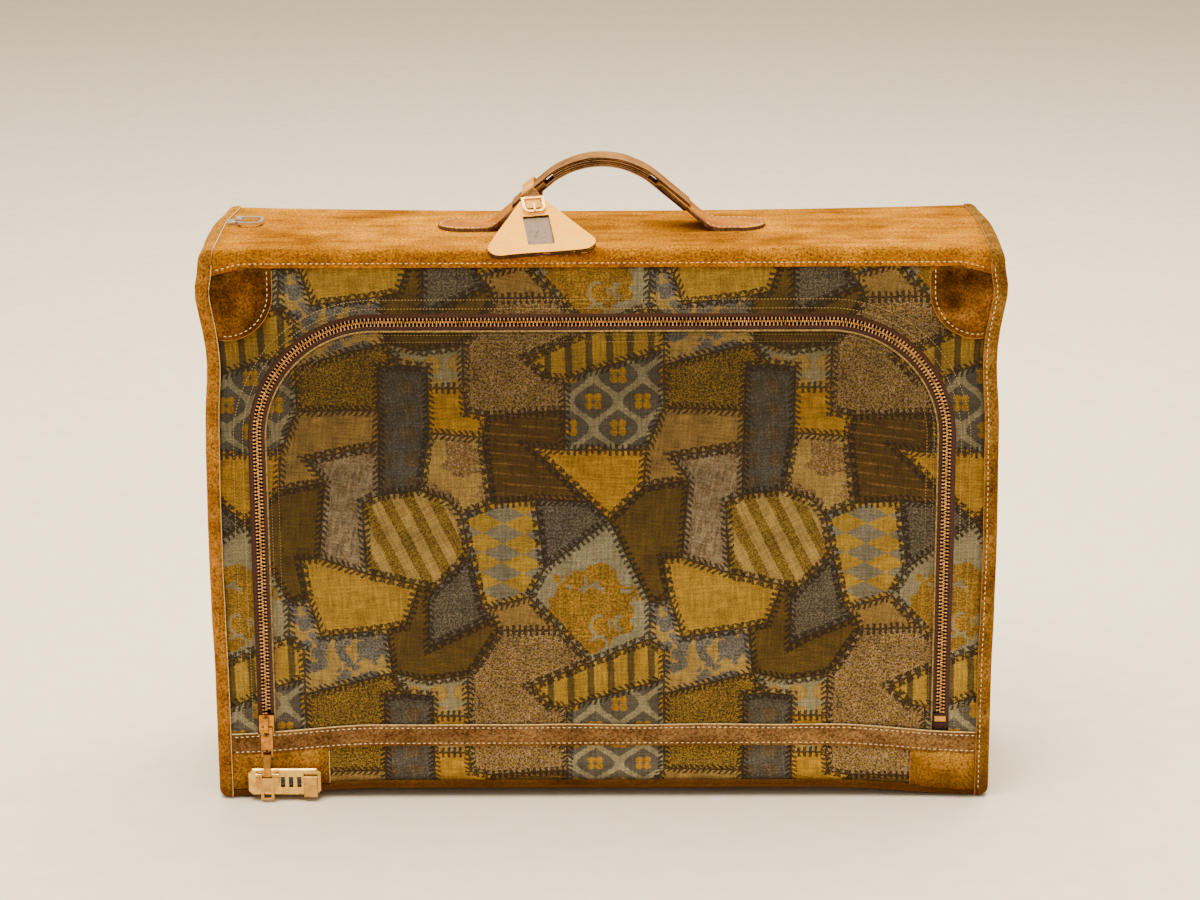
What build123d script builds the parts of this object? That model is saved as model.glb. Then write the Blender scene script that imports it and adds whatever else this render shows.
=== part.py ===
from build123d import *
import os
from math import cos, pi, radians, sin, tan

# A soft-sided suitcase in patchwork tapestry with suede trim. It stands on its base, its zipped front
# flap faces -Y, and the origin is at the middle of the base. All lengths are in millimetres.

# Driving sizes of the case
case_width = 660.0
case_depth = 178.0
case_height = 483.0
edge_radius = 8.0  # outer rounding of the suede edges
inner_bevel = 3.4  # bevel of the skin's inside behind those edges
suede = 2.0
fabric = 2.0
patch_suede = 1.4  # the thinner suede of the corner patches
board = 4.0
flap_stiffener = 2.0
lining_cloth = 1.0
side_lip = 11.0  # suede of the sides turned onto the front and back
end_lip = 8.0  # suede of the sides turned onto the top
top_lip = 15.0  # suede of the top turned down onto the front and back
base_lip = 10.0  # cover of the base turned up onto the front and back
board_corner = 7.0
back_board_seat = 2.0  # how far the back board laps the frame's edge
overrun = 1.0  # how far a cut runs past the face that it opens

# Corner patches
top_patch_width = 48.0
top_patch_height = 61.0
top_patch_round = 40.0
lock_patch_width = 84.0
base_patch_width = 56.0

# Zip, flap and hinge strip
zip_inset = 42.0  # from the case's sides to the zip's line
zip_drop = 62.0  # from the case's top to the zip's line
zip_corner = 100.0
cloth_gap = 9.5  # from the zip's line to the edge of the cloth beside it
tape_tuck = 5.0  # how far the tape runs on behind the cloth
tape_thick = 1.0
hinge_height = 57.5  # the fold that the flap opens about
hinge_strip_height = 19.0
stiffener_inset = 8.0
tooth_pitch = 9.0
tooth_tip = 0.7  # from the zip's line to a tooth's tip
tooth_root = 3.0
row_edge = 5.0  # from the zip's line to the outer edge of a row of teeth
tooth_thick = 3.0
tooth_sink = 0.8  # how far the teeth lie below the cloth's face
row_foot_gap = 2.0  # from the hinge strip up to the first tooth on the frame
stop_height = 5.0
stop_gap = 2.0

# Zip slider and its pull
slider_height = 16.0
slider_lap = 7.0  # how far the slider sits down in a notch of the hinge strip
slider_gap = 1.0  # around the slider in that notch, and on to the flap's first tooth
slider_clear = 0.4  # running clearance around the teeth and tape
slider_plate = 1.8
slider_flange = 1.0
slider_post_height = 6.0
bail_width = 3.4
bail_wall = 1.6
bail_reach = 2.8  # clear depth between the slider's face and the bail
bail_foot = 1.5  # from the slider's ends to the bail's legs
pull_width = 10.0
pull_foot_gap = 9.0  # from the lock's top edge up to the pull
pull_thick = 1.2
pull_bar = 2.0
pull_eye_height = 6.0
pull_eye_side = 0.6  # clearance beside the bail
pull_eye_bottom_height = 5.0
pull_eye_bottom_width = 7.0
pull_rim = 1.6
pull_round = 1.2
pull_stand_off = 0.3  # from the hinge strip's face to the pull
link_width = 6.0
link_thick = 1.2

# Combination lock
lock_length = 62.0
lock_width = 24.0
lock_rise = 6.0
lock_height = 17.5  # its middle, above the base
lock_corner = 3.5
lock_bevel = 1.0
lock_wall = 1.5
lock_end_to_hasp = 16.5
hasp_to_wheel = 13.1
wheel_pitch = 7.0
wheel_count = 3
wheel_radius = 5.0
wheel_width = 3.0
wheel_sides = 10
wheel_set_back = 4.0  # from the lock's face to the wheels' axle
wheel_clear = 0.7
wheel_bore_clear = 0.05
axle_radius = 1.0
axle_seat = 2.0
axle_clear = 0.02
window_width = 3.8
window_height = 9.2
hasp_width = 20.0
hasp_thick = 1.6
hasp_stand_off = 2.0  # from the lock's face to the hasp's pivot
hasp_pivot_drop = 5.0  # from the lock's top edge to the pivot
hasp_plate_height = 12.0
hasp_round = 3.0
hasp_loop_width = 11.6
hasp_loop_height = 10.3
hasp_loop_eye_width = 6.4
hasp_loop_rim = 2.0
hasp_loop_eye_height = 5.4
knuckle_radius = 1.8
knuckle_gap = 0.2
notch_width = 8.5
notch_depth = 2.5
ear_width = 2.4
hasp_pin_radius = 0.8
hasp_pin_clear = 0.05
button_width = 12.0
button_height = 19.0
button_drop = 1.5  # how far the button hangs past the lock's lower edge
button_sink = 2.0
button_rise = 2.0
button_travel = 3.0
button_clear = 0.2
button_end = 2.5  # from the button to the end of the lock
button_round = 1.0

# Handle, its two tabs and filler
grip_arc = 70.0
grip_angle = 40.0
grip_peak = 62.0  # top of the grip above the case
grip_width = 26.0
strap_thick = 2.6
grip_core = 3.6  # clear height between the two runs of the strap
core_clear = 0.1
strap_end = 38.0  # from the arc's end, down the leg, to the strap's bend
strap_round = 3.5
tab_thick = 3.0
tab_bend = 20.0
tab_top = 3.0  # from the arc's end to the tab's top end
tab_reach = 46.0  # flat of the tab on the case, past its bend
tab_half_base = 22.0
tab_half_slot = 20.0
tab_half_top = 16.0
slot_clear = 1.0

# Luggage tag
tag_across = -58.0  # where the tag's strap goes round the handle
tag_slope = 22.0
tag_lean = 8.0
tag_leather = 1.6
tag_inlay = 0.5
tag_rest_gap = 0.3
tag_shoulder = 3.0
tag_length = 80.0
tag_top_width = 20.0
tag_foot_width = 104.0
tag_foot_round = 11.0
tag_top_round = 4.0
tag_pane_width = 22.0
tag_pane_length = 42.0
tag_pane_drop = 27.0
tag_pocket_rim = 3.0
tag_strap_width = 12.0
tag_strap_thick = 1.5
tag_strap_clear = 0.8
tag_strap_tail = 17.0
tag_strap_head = 3.0
buckle_width = 19.0
buckle_length = 22.0
buckle_bar = 2.2
buckle_thick = 1.7
prong_width = 1.6
prong_thick = 1.0
prong_length = 11.0

# Strap ring and its clip on the top
ring_inset = 22.0  # from the case's left end to the ring's pivot
ring_back = 12.0
ring_wire = 2.6
ring_reach = 22.0
ring_breadth = 26.0
ring_corner = 8.0
clip_sheet = 1.0
clip_width = 12.0
clip_gap = 0.65  # clear space around the ring's bar
clip_tail = 11.0
clip_bend = 0.9
rivet_radius = 2.6
rivet_rise = 1.2
rivet_inset = 3.0

# Places that follow from the sizes above
front_y = -case_depth / 2
zip_half = case_width / 2 - zip_inset
zip_top = case_height - zip_drop
ring_across = -case_width / 2 + ring_inset
cloth_y = front_y + suede  # face of the cloth on the front
cloth_back_y = cloth_y + fabric
side_edge = case_width / 2 - side_lip
end_edge = case_width / 2 - end_lip
lip_edge = case_height - top_lip
cloth_half = case_width / 2 - edge_radius
cloth_top = case_height - edge_radius
board_reach = case_depth / 2 - edge_radius
strip_foot = hinge_height - hinge_strip_height / 2
strip_head = hinge_height + hinge_strip_height / 2

made = {}


def keep(name, solid):
    """Files a finished piece under its name."""
    solid.label = name
    made[name] = solid


def front_plane(y):
    """A plane for front views, x to the right and y up, that extrudes towards the viewer."""
    return Plane.XZ.offset(-y)


def mirrored(solid):
    """The piece's twin on the other side of the case."""
    with BuildPart() as twin:
        add(solid)
        mirror(about=Plane.YZ, mode=Mode.REPLACE)
    return twin.part


def turned_back(solid):
    """The piece's twin on the back of the case."""
    with BuildPart() as twin:
        add(solid)
        mirror(about=Plane.XZ, mode=Mode.REPLACE)
    return twin.part


# Suede and cloth skin of the box: one rounded shell, cut where its panels are sewn together
with BuildPart() as hollow:
    with Locations((0, 0, case_height / 2)):
        Box(case_width - 2 * suede, case_depth - 2 * suede, case_height - 2 * suede)
    chamfer(hollow.edges(), length=inner_bevel)

with BuildPart() as skin:
    with Locations((0, 0, case_height / 2)):
        Box(case_width, case_depth, case_height)
    fillet(skin.edges(), radius=edge_radius)
    add(hollow.part, mode=Mode.SUBTRACT)

with BuildPart() as right_side:
    add(skin.part)
    split(bisect_by=Plane.YZ.offset(side_edge), keep=Keep.TOP)
    # Above the lip the top's suede runs further out, and the side gives way to it
    with BuildSketch(Plane.XZ):
        with Locations((end_edge, lip_edge)):
            Rectangle(side_lip, top_lip + overrun, align=(Align.MAX, Align.MIN))
    extrude(amount=case_depth, both=True, mode=Mode.SUBTRACT)
keep("right_side", right_side.part)
keep("left_side", mirrored(right_side.part))

with BuildPart() as top_cover:
    add(skin.part)
    split(bisect_by=Plane.YZ.offset(-end_edge), keep=Keep.TOP)
    split(bisect_by=Plane.YZ.offset(end_edge), keep=Keep.BOTTOM)
    split(bisect_by=Plane.XY.offset(lip_edge), keep=Keep.TOP)
keep("top_cover", top_cover.part)

with BuildPart() as base_cover:
    add(skin.part)
    split(bisect_by=Plane.YZ.offset(-side_edge), keep=Keep.TOP)
    split(bisect_by=Plane.YZ.offset(side_edge), keep=Keep.BOTTOM)
    split(bisect_by=Plane.XY.offset(base_lip), keep=Keep.BOTTOM)
keep("base_cover", base_cover.part)


# Stiff frame inside the skin: four boards mitred at the corners, a back board and the lining
def frame_board(name, corners):
    """One board of the frame, cut from the rounded hoop by its mitred outline."""
    with BuildPart() as plank:
        with BuildSketch(front_plane(board_reach)):
            with Locations((0, case_height / 2)):
                RectangleRounded(case_width - 2 * suede, case_height - 2 * suede, board_corner)
            with BuildLine():
                Polyline(*corners, close=True)
            make_face(mode=Mode.INTERSECT)
        extrude(amount=2 * board_reach)
    keep(name, plank.part)


hoop_x = case_width / 2 - suede
hoop_foot = suede
hoop_head = case_height - suede
room_x = hoop_x - board
room_foot = hoop_foot + board
room_head = hoop_head - board
frame_board(
    "top_board",
    [(-hoop_x, hoop_head), (hoop_x, hoop_head), (room_x, room_head), (-room_x, room_head)],
)
frame_board(
    "base_board",
    [(-hoop_x, hoop_foot), (hoop_x, hoop_foot), (room_x, room_foot), (-room_x, room_foot)],
)
frame_board(
    "right_board",
    [(hoop_x, hoop_head), (hoop_x, hoop_foot), (room_x, room_foot), (room_x, room_head)],
)
frame_board(
    "left_board",
    [(-hoop_x, hoop_head), (-hoop_x, hoop_foot), (-room_x, room_foot), (-room_x, room_head)],
)

with BuildPart() as back_board:
    with BuildSketch(front_plane(-cloth_back_y)):
        with Locations((0, (room_foot + room_head) / 2)):
            RectangleRounded(
                2 * (room_x + back_board_seat),
                room_head - room_foot + 2 * back_board_seat,
                board_corner,
            )
    extrude(amount=-cloth_back_y - board_reach)
keep("back_board", back_board.part)

with BuildPart() as lining:
    with Locations((0, 0, (room_foot + room_head) / 2)):
        Box(2 * room_x, 2 * board_reach, room_head - room_foot)
    offset(amount=-lining_cloth, openings=lining.faces().sort_by(Axis.Y)[0])
keep("lining", lining.part)


# Cloth of the front and back
def arch(outward, foot):
    """The zip's arched outline, moved outwards and standing on a given height."""
    top = zip_top + outward
    with BuildSketch() as outline:
        with Locations((0, (top + foot) / 2)):
            Rectangle(2 * (zip_half + outward), top - foot)
        fillet(outline.vertices().group_by(Axis.Y)[-1], radius=zip_corner + outward)
    return outline.sketch


def cloth_panel(foot, head):
    """Outline of a full-width piece of cloth between two heights."""
    with BuildSketch() as outline:
        with Locations((0, (foot + head) / 2)):
            Rectangle(2 * cloth_half, head - foot)
    return outline.sketch


with BuildPart() as front_surround:
    with BuildSketch(front_plane(cloth_back_y)):
        add(cloth_panel(hinge_height, cloth_top))
        add(arch(cloth_gap, hinge_height), mode=Mode.SUBTRACT)
    extrude(amount=fabric)
keep("front_surround", front_surround.part)

lock_left = -zip_half - lock_end_to_hasp
lock_middle = lock_left + lock_length / 2
wheels_middle = -zip_half + hasp_to_wheel + wheel_pitch * (wheel_count - 1) / 2
cavity_length = wheel_pitch * (wheel_count - 1) + wheel_width + 2 * wheel_clear
cavity_width = 2 * (wheel_radius + wheel_clear)


def wheel_cavity():
    """Outline of the space behind the lock's windows that its wheels turn in."""
    with BuildSketch() as outline:
        with Locations((wheels_middle, lock_height)):
            Rectangle(cavity_length, cavity_width)
    return outline.sketch


with BuildPart() as front_foot:
    with BuildSketch(front_plane(cloth_back_y)):
        add(cloth_panel(edge_radius, hinge_height))
        add(wheel_cavity(), mode=Mode.SUBTRACT)
    extrude(amount=fabric)
keep("front_foot", front_foot.part)

with BuildPart() as back_panel:
    with BuildSketch(front_plane(-cloth_y)):
        add(cloth_panel(edge_radius, cloth_top))
    extrude(amount=fabric)
keep("back_panel", back_panel.part)

with BuildPart() as flap_cover:
    with BuildSketch(front_plane(cloth_back_y)):
        add(arch(-cloth_gap, hinge_height))
    extrude(amount=fabric)
keep("flap_cover", flap_cover.part)

stiffener_back_y = cloth_back_y + flap_stiffener
with BuildPart() as flap_board:
    with BuildSketch(front_plane(stiffener_back_y)):
        add(arch(-cloth_gap - stiffener_inset, hinge_height + stiffener_inset))
    extrude(amount=flap_stiffener)
keep("flap_board", flap_board.part)

with BuildPart() as flap_lining:
    with BuildSketch(front_plane(stiffener_back_y + lining_cloth)):
        add(arch(-cloth_gap - stiffener_inset, hinge_height + stiffener_inset))
    extrude(amount=lining_cloth)
keep("flap_lining", flap_lining.part)

slider_half = row_edge + slider_clear + slider_flange
with BuildPart() as hinge_strip:
    with BuildSketch(front_plane(cloth_y)):
        with Locations((0, hinge_height)):
            Rectangle(2 * side_edge, hinge_strip_height)
        with Locations((-zip_half, strip_head)):
            Rectangle(
                2 * (slider_half + slider_gap), 2 * (slider_lap + slider_gap), mode=Mode.SUBTRACT
            )
    extrude(amount=suede)
keep("hinge_strip", hinge_strip.part)

# Corner patches, sewn on the cloth between the lips of the suede
with BuildPart() as top_patch:
    with BuildSketch(front_plane(cloth_y)) as patch_outline:
        with Locations((side_edge, lip_edge)):
            Rectangle(top_patch_width, top_patch_height, align=(Align.MAX, Align.MAX))
        inner_foot = patch_outline.vertices().group_by(Axis.X)[0].sort_by(Axis.Y)[0]
        fillet(inner_foot, radius=top_patch_round)
    extrude(amount=patch_suede)
keep("top_right_patch", top_patch.part)
keep("top_left_patch", mirrored(top_patch.part))
keep("back_top_right_patch", turned_back(top_patch.part))
keep("back_top_left_patch", mirrored(turned_back(top_patch.part)))

with BuildPart() as base_patch:
    with BuildSketch(front_plane(cloth_y)):
        with Locations((side_edge, base_lip)):
            Rectangle(base_patch_width, strip_foot - base_lip, align=(Align.MAX, Align.MIN))
    extrude(amount=patch_suede)
keep("base_right_patch", base_patch.part)
keep("back_base_right_patch", turned_back(base_patch.part))
keep("back_base_left_patch", mirrored(turned_back(base_patch.part)))

with BuildPart() as lock_patch:
    with BuildSketch(front_plane(cloth_y)):
        with Locations((-side_edge, base_lip)):
            Rectangle(lock_patch_width, strip_foot - base_lip, align=(Align.MIN, Align.MIN))
        add(wheel_cavity(), mode=Mode.SUBTRACT)
    extrude(amount=suede)
keep("lock_patch", lock_patch.part)

# Zip: two tapes behind the cloth, and two rows of teeth that face each other along the zip's line
frame_foot = strip_head + row_foot_gap
slider_foot = strip_head - slider_lap
slider_head = slider_foot + slider_height
stop_foot = strip_head + slider_gap
flap_foot_left = slider_head + stop_gap + slider_gap
flap_foot_right = stop_foot + stop_height + stop_gap
teeth_face_y = cloth_y + tooth_sink
teeth_back_y = teeth_face_y + tooth_thick


def zip_point(travel, outward):
    """A point of the zip's line, given how far along it from the hinge's left end, moved outwards."""
    upright = zip_top - zip_corner - hinge_height
    turn = zip_corner * pi / 2
    level = 2 * (zip_half - zip_corner)
    reach = zip_corner + outward
    if travel < upright:
        return (-zip_half - outward, hinge_height + travel)
    if travel < upright + turn:
        angle = (travel - upright) / zip_corner
        return (
            -zip_half + zip_corner - reach * cos(angle),
            zip_top - zip_corner + reach * sin(angle),
        )
    if travel < upright + turn + level:
        return (-zip_half + zip_corner + travel - upright - turn, zip_top + outward)
    left_x, height = zip_point(2 * (upright + turn) + level - travel, outward)
    return (-left_x, height)


def toothed_outline(tip, root):
    """The space inside a row's zigzag of tips and roots, closed along the hinge."""
    length = 2 * (zip_top - zip_corner - hinge_height) + zip_corner * pi
    length += 2 * (zip_half - zip_corner)
    count = round(length / tooth_pitch)
    step = length / count
    points = []
    for tooth in range(count):
        points.append(zip_point(tooth * step, root))
        points.append(zip_point((tooth + 1 / 2) * step, tip))
    points.append(zip_point(length, root))
    with BuildSketch() as outline:
        with BuildLine():
            Polyline(*points, close=True)
        make_face()
    return outline.sketch


def keep_above(left_foot, right_foot):
    """Trims the current sketch to what stands above a foot on each side."""
    wide = case_width
    for side, foot in ((Align.MAX, left_foot), (Align.MIN, right_foot)):
        with Locations((0, foot)):
            Rectangle(wide, case_height, align=(side, Align.MAX), mode=Mode.SUBTRACT)


with BuildPart() as frame_tape:
    with BuildSketch(front_plane(cloth_back_y + tape_thick)):
        add(arch(cloth_gap + tape_tuck, hinge_height))
        add(arch(row_edge, hinge_height), mode=Mode.SUBTRACT)
        keep_above(frame_foot, frame_foot)
    extrude(amount=tape_thick)
keep("frame_tape", frame_tape.part)

with BuildPart() as flap_tape:
    with BuildSketch(front_plane(cloth_back_y + tape_thick)):
        add(arch(-row_edge, hinge_height))
        add(arch(-cloth_gap - tape_tuck, hinge_height), mode=Mode.SUBTRACT)
        keep_above(flap_foot_left, flap_foot_right)
    extrude(amount=tape_thick)
keep("flap_tape", flap_tape.part)

with BuildPart() as frame_teeth:
    with BuildSketch(front_plane(teeth_back_y)):
        add(arch(row_edge, hinge_height))
        add(toothed_outline(tooth_tip, tooth_root), mode=Mode.SUBTRACT)
        keep_above(frame_foot, stop_foot + stop_height)
    extrude(amount=tooth_thick)
keep("frame_teeth", frame_teeth.part)

with BuildPart() as flap_teeth:
    with BuildSketch(front_plane(teeth_back_y)):
        add(toothed_outline(-tooth_tip, -tooth_root))
        add(arch(-row_edge, hinge_height), mode=Mode.SUBTRACT)
        keep_above(flap_foot_left, flap_foot_right)
    extrude(amount=tooth_thick)
keep("flap_teeth", flap_teeth.part)

with BuildPart() as zip_stop:
    with BuildSketch(front_plane(teeth_back_y)):
        with Locations((zip_half, stop_foot)):
            Rectangle(2 * row_edge, stop_height, align=(Align.CENTER, Align.MIN))
    extrude(amount=tooth_thick)
    fillet(zip_stop.edges().group_by(Axis.Y)[0], radius=tape_thick / 2)
keep("zip_stop", zip_stop.part)

# Zip slider: two plates joined by a post, with flanges that hold the teeth, and a bail for the pull
plate_in_y = teeth_face_y - slider_clear
slider_face_y = plate_in_y - slider_plate
back_plate_in_y = teeth_back_y + slider_clear
slider_back_y = back_plate_in_y + slider_plate
tape_face_y = cloth_back_y
tape_back_y = tape_face_y + tape_thick
pull_y = front_y - pull_stand_off - pull_thick / 2
bail_face_y = slider_face_y - bail_reach

with BuildPart() as zip_slider:
    with BuildSketch(Plane.XY.offset(slider_foot)):
        with Locations((-zip_half, (slider_face_y + slider_back_y) / 2)):
            Rectangle(2 * slider_half, slider_back_y - slider_face_y)
        with Locations((-zip_half, (plate_in_y + back_plate_in_y) / 2)):
            Rectangle(
                2 * (row_edge + slider_clear), back_plate_in_y - plate_in_y, mode=Mode.SUBTRACT
            )
        with Locations((-zip_half, (tape_face_y + tape_back_y) / 2)):
            Rectangle(
                2 * slider_half + overrun, tape_thick + 2 * slider_clear, mode=Mode.SUBTRACT
            )
    extrude(amount=slider_height)
    with BuildSketch(Plane.XY.offset(slider_foot)):
        with Locations((-zip_half, (slider_face_y + slider_back_y) / 2)):
            Rectangle(2 * (tooth_tip - slider_clear), slider_back_y - slider_face_y)
    extrude(amount=slider_post_height)
    uprights = zip_slider.edges().filter_by(Axis.Y).group_by(Axis.X)
    fillet(uprights[0] + uprights[-1], radius=slider_flange / 2)
    with BuildSketch(Plane.YZ.offset(-zip_half)):
        with Locations((slider_face_y, slider_foot + bail_foot)):
            Rectangle(
                bail_reach + bail_wall,
                slider_height - 2 * bail_foot,
                align=(Align.MAX, Align.MIN),
            )
        with Locations((slider_face_y, slider_foot + bail_foot + bail_wall)):
            Rectangle(
                bail_reach,
                slider_height - 2 * (bail_foot + bail_wall),
                align=(Align.MAX, Align.MIN),
                mode=Mode.SUBTRACT,
            )
    extrude(amount=bail_width / 2, both=True)
keep("zip_slider", zip_slider.part)

# Pull: a plate hung by its top bar in the bail, with a link on its lower eye that reaches the lock
pull_pivot = slider_foot + bail_foot + bail_wall + slider_clear + pull_bar / 2
pull_head = pull_pivot + pull_bar / 2
lock_head = lock_height + lock_width / 2
pull_foot = lock_head + pull_foot_gap
pull_length = pull_head - pull_foot
lower_eye_foot = pull_foot + pull_rim
with BuildPart() as zip_pull:
    with BuildSketch(front_plane(pull_y + pull_thick / 2)) as pull_outline:
        with Locations((-zip_half, pull_head)):
            Rectangle(pull_width, pull_length, align=(Align.CENTER, Align.MAX))
        fillet(pull_outline.vertices(), radius=pull_round)
        with Locations((-zip_half, pull_head - pull_bar)):
            Rectangle(
                bail_width + 2 * pull_eye_side,
                pull_eye_height,
                align=(Align.CENTER, Align.MAX),
                mode=Mode.SUBTRACT,
            )
        with Locations((-zip_half, lower_eye_foot)):
            Rectangle(
                pull_eye_bottom_width,
                pull_eye_bottom_height,
                align=(Align.CENTER, Align.MIN),
                mode=Mode.SUBTRACT,
            )
    extrude(amount=pull_thick)
keep("zip_pull", zip_pull.part)

lock_face_y = front_y - lock_rise
lock_foot = lock_height - lock_width / 2
hasp_pivot_y = lock_face_y - hasp_stand_off
hasp_pivot = lock_head - hasp_pivot_drop
notch_foot = hasp_pivot - notch_depth
link_eye = lower_eye_foot + link_thick / 2
with BuildPart() as pull_link:
    with BuildSketch(Plane.YZ.offset(-zip_half)):
        with BuildLine():
            Polyline(
                (pull_y + pull_thick / 2, link_eye),
                (pull_y - pull_thick - link_thick, link_eye),
                (hasp_pivot_y, lock_head + link_thick),
                (hasp_pivot_y, notch_foot + link_thick),
            )
        trace(line_width=link_thick)
    extrude(amount=link_width / 2, both=True)
keep("pull_link", pull_link.part)

# Combination lock: a brass case with three wheels on an axle, a hasp on two pins and a sliding button
ear_out = hasp_width / 2
ear_in = ear_out - ear_width
button_right = lock_left + lock_length - button_end
button_middle = button_right - button_width / 2
button_foot = lock_foot - button_drop
button_head = button_foot + button_height
axle_y = lock_face_y + wheel_set_back
axle_left = wheels_middle - cavity_length / 2 - axle_seat
axle_length = cavity_length + 2 * axle_seat

with BuildPart() as lock_case:
    with BuildSketch(front_plane(front_y)) as lock_outline:
        with Locations((lock_middle, lock_height)):
            Rectangle(lock_length, lock_width)
        chamfer(lock_outline.vertices(), length=lock_corner)
    extrude(amount=lock_rise)
    chamfer(lock_case.faces().sort_by(Axis.Y)[0].edges(), length=lock_bevel)
    with BuildSketch(front_plane(lock_face_y + lock_wall)):
        add(wheel_cavity())
    extrude(amount=-lock_rise, mode=Mode.SUBTRACT)
    with BuildSketch(front_plane(lock_face_y + lock_wall)):
        with Locations((wheels_middle, lock_height)):
            with GridLocations(wheel_pitch, wheel_pitch, wheel_count, 1):
                Rectangle(window_width, window_height)
    extrude(amount=lock_wall + overrun, mode=Mode.SUBTRACT)
    with BuildSketch(Plane.YZ.offset(axle_left)):
        with Locations((axle_y, lock_height)):
            Circle(axle_radius + axle_clear)
    extrude(amount=axle_length, mode=Mode.SUBTRACT)
    # Channel that the button slides in, open at the lock's lower edge
    with BuildSketch(front_plane(lock_face_y + button_sink)):
        with Locations((button_middle, button_head + button_travel + button_clear)):
            Rectangle(
                button_width + 2 * button_clear,
                lock_width + button_height,
                align=(Align.CENTER, Align.MAX),
            )
    extrude(amount=button_sink + overrun, mode=Mode.SUBTRACT)
    # Ears that carry the hasp's pins
    for ear_x in (-ear_out, ear_in):
        with BuildSketch(Plane.YZ.offset(-zip_half + ear_x)):
            with Locations((hasp_pivot_y, hasp_pivot)):
                Circle(knuckle_radius)
            with Locations((hasp_pivot_y, hasp_pivot)):
                Rectangle(
                    hasp_stand_off, 2 * knuckle_radius, align=(Align.MIN, Align.CENTER)
                )
            with Locations((hasp_pivot_y, hasp_pivot)):
                Circle(hasp_pin_radius + axle_clear, mode=Mode.SUBTRACT)
        extrude(amount=ear_width)
keep("lock_case", lock_case.part)

with BuildPart() as wheel_axle:
    with BuildSketch(Plane.YZ.offset(axle_left)):
        with Locations((axle_y, lock_height)):
            Circle(axle_radius)
    extrude(amount=axle_length)
keep("wheel_axle", wheel_axle.part)

for place in range(wheel_count):
    wheel_x = wheels_middle + wheel_pitch * (place - (wheel_count - 1) / 2)
    with BuildPart() as number_wheel:
        with BuildSketch(Plane.YZ.offset(wheel_x)):
            with Locations((axle_y, lock_height)):
                RegularPolygon(wheel_radius, wheel_sides)
                Circle(axle_radius + wheel_bore_clear, mode=Mode.SUBTRACT)
        extrude(amount=wheel_width / 2, both=True)
    keep(f"number_wheel_{place + 1}", number_wheel.part)

knuckle_in = notch_width / 2
knuckle_out = ear_in - knuckle_gap
hasp_foot = hasp_pivot - hasp_plate_height
loop_foot = hasp_foot - hasp_loop_height
with BuildPart() as lock_hasp:
    with BuildSketch(front_plane(hasp_pivot_y + hasp_thick / 2)) as hasp_outline:
        with Locations((-zip_half, hasp_foot)):
            Rectangle(
                hasp_width,
                hasp_plate_height - knuckle_radius - knuckle_gap,
                align=(Align.CENTER, Align.MIN),
            )
        fillet(hasp_outline.vertices().group_by(Axis.Y)[0], radius=hasp_round)
        with Locations((-zip_half, loop_foot)):
            Rectangle(
                hasp_loop_width, hasp_loop_height + overrun, align=(Align.CENTER, Align.MIN)
            )
        with Locations((-zip_half, loop_foot + hasp_loop_rim)):
            Rectangle(
                hasp_loop_eye_width,
                hasp_loop_eye_height,
                align=(Align.CENTER, Align.MIN),
                mode=Mode.SUBTRACT,
            )
        with Locations((-zip_half, notch_foot)):
            Rectangle(
                notch_width,
                hasp_plate_height,
                align=(Align.CENTER, Align.MIN),
                mode=Mode.SUBTRACT,
            )
    extrude(amount=hasp_thick)
    for knuckle_x in (-knuckle_out, knuckle_in):
        with BuildSketch(Plane.YZ.offset(-zip_half + knuckle_x)):
            with Locations((hasp_pivot_y, hasp_pivot)):
                Circle(knuckle_radius)
                Rectangle(
                    hasp_thick, knuckle_radius + 2 * knuckle_gap, align=(Align.CENTER, Align.MAX)
                )
                Circle(hasp_pin_radius + hasp_pin_clear, mode=Mode.SUBTRACT)
        extrude(amount=knuckle_out - knuckle_in)
keep("lock_hasp", lock_hasp.part)

with BuildPart() as hasp_pins:
    for pin_x in (-ear_out, knuckle_in):
        with BuildSketch(Plane.YZ.offset(-zip_half + pin_x)):
            with Locations((hasp_pivot_y, hasp_pivot)):
                Circle(hasp_pin_radius)
        extrude(amount=ear_out - knuckle_in)
keep("hasp_pins", hasp_pins.part)

with BuildPart() as release_button:
    with BuildSketch(front_plane(lock_face_y + button_sink - button_clear)):
        with Locations((button_middle, button_foot)):
            Rectangle(button_width, button_height, align=(Align.CENTER, Align.MIN))
    extrude(amount=button_sink + button_rise - button_clear)
    fillet(release_button.faces().sort_by(Axis.Y)[0].edges(), radius=button_round)
keep("release_button", release_button.part)

# Handle: a strap closed into a long loop, a filler in its arc, and a slotted tab through each end
grip_thick = grip_core + 2 * strap_thick
grip_centre = case_height + grip_peak - grip_thick / 2 - grip_arc
lean = radians(grip_angle)


def leg_point(down):
    """A point of the right leg's middle line, given how far it lies below the arc's end."""
    return (
        grip_arc * sin(lean) + down * cos(lean),
        grip_centre + grip_arc * cos(lean) - down * sin(lean),
    )


def grip_outline(down, thick):
    """The handle's arched band, down to a given length of each leg."""
    right_x, height = leg_point(down)
    arc_x, arc_height = leg_point(0)
    with BuildSketch() as outline:
        with BuildLine():
            Line((-right_x, height), (-arc_x, arc_height))
            ThreePointArc((-arc_x, arc_height), (0, grip_centre + grip_arc), (arc_x, arc_height))
            Line((arc_x, arc_height), (right_x, height))
        trace(line_width=thick)
    return outline.sketch


with BuildPart() as handle_strap:
    with BuildSketch(front_plane(grip_width / 2)) as strap_outline:
        add(grip_outline(strap_end, grip_thick))
        fillet(strap_outline.vertices().sort_by(Axis.Y)[:4], radius=strap_round)
        add(grip_outline(strap_end - strap_thick, grip_core), mode=Mode.SUBTRACT)
    extrude(amount=grip_width)
keep("handle_strap", handle_strap.part)

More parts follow.
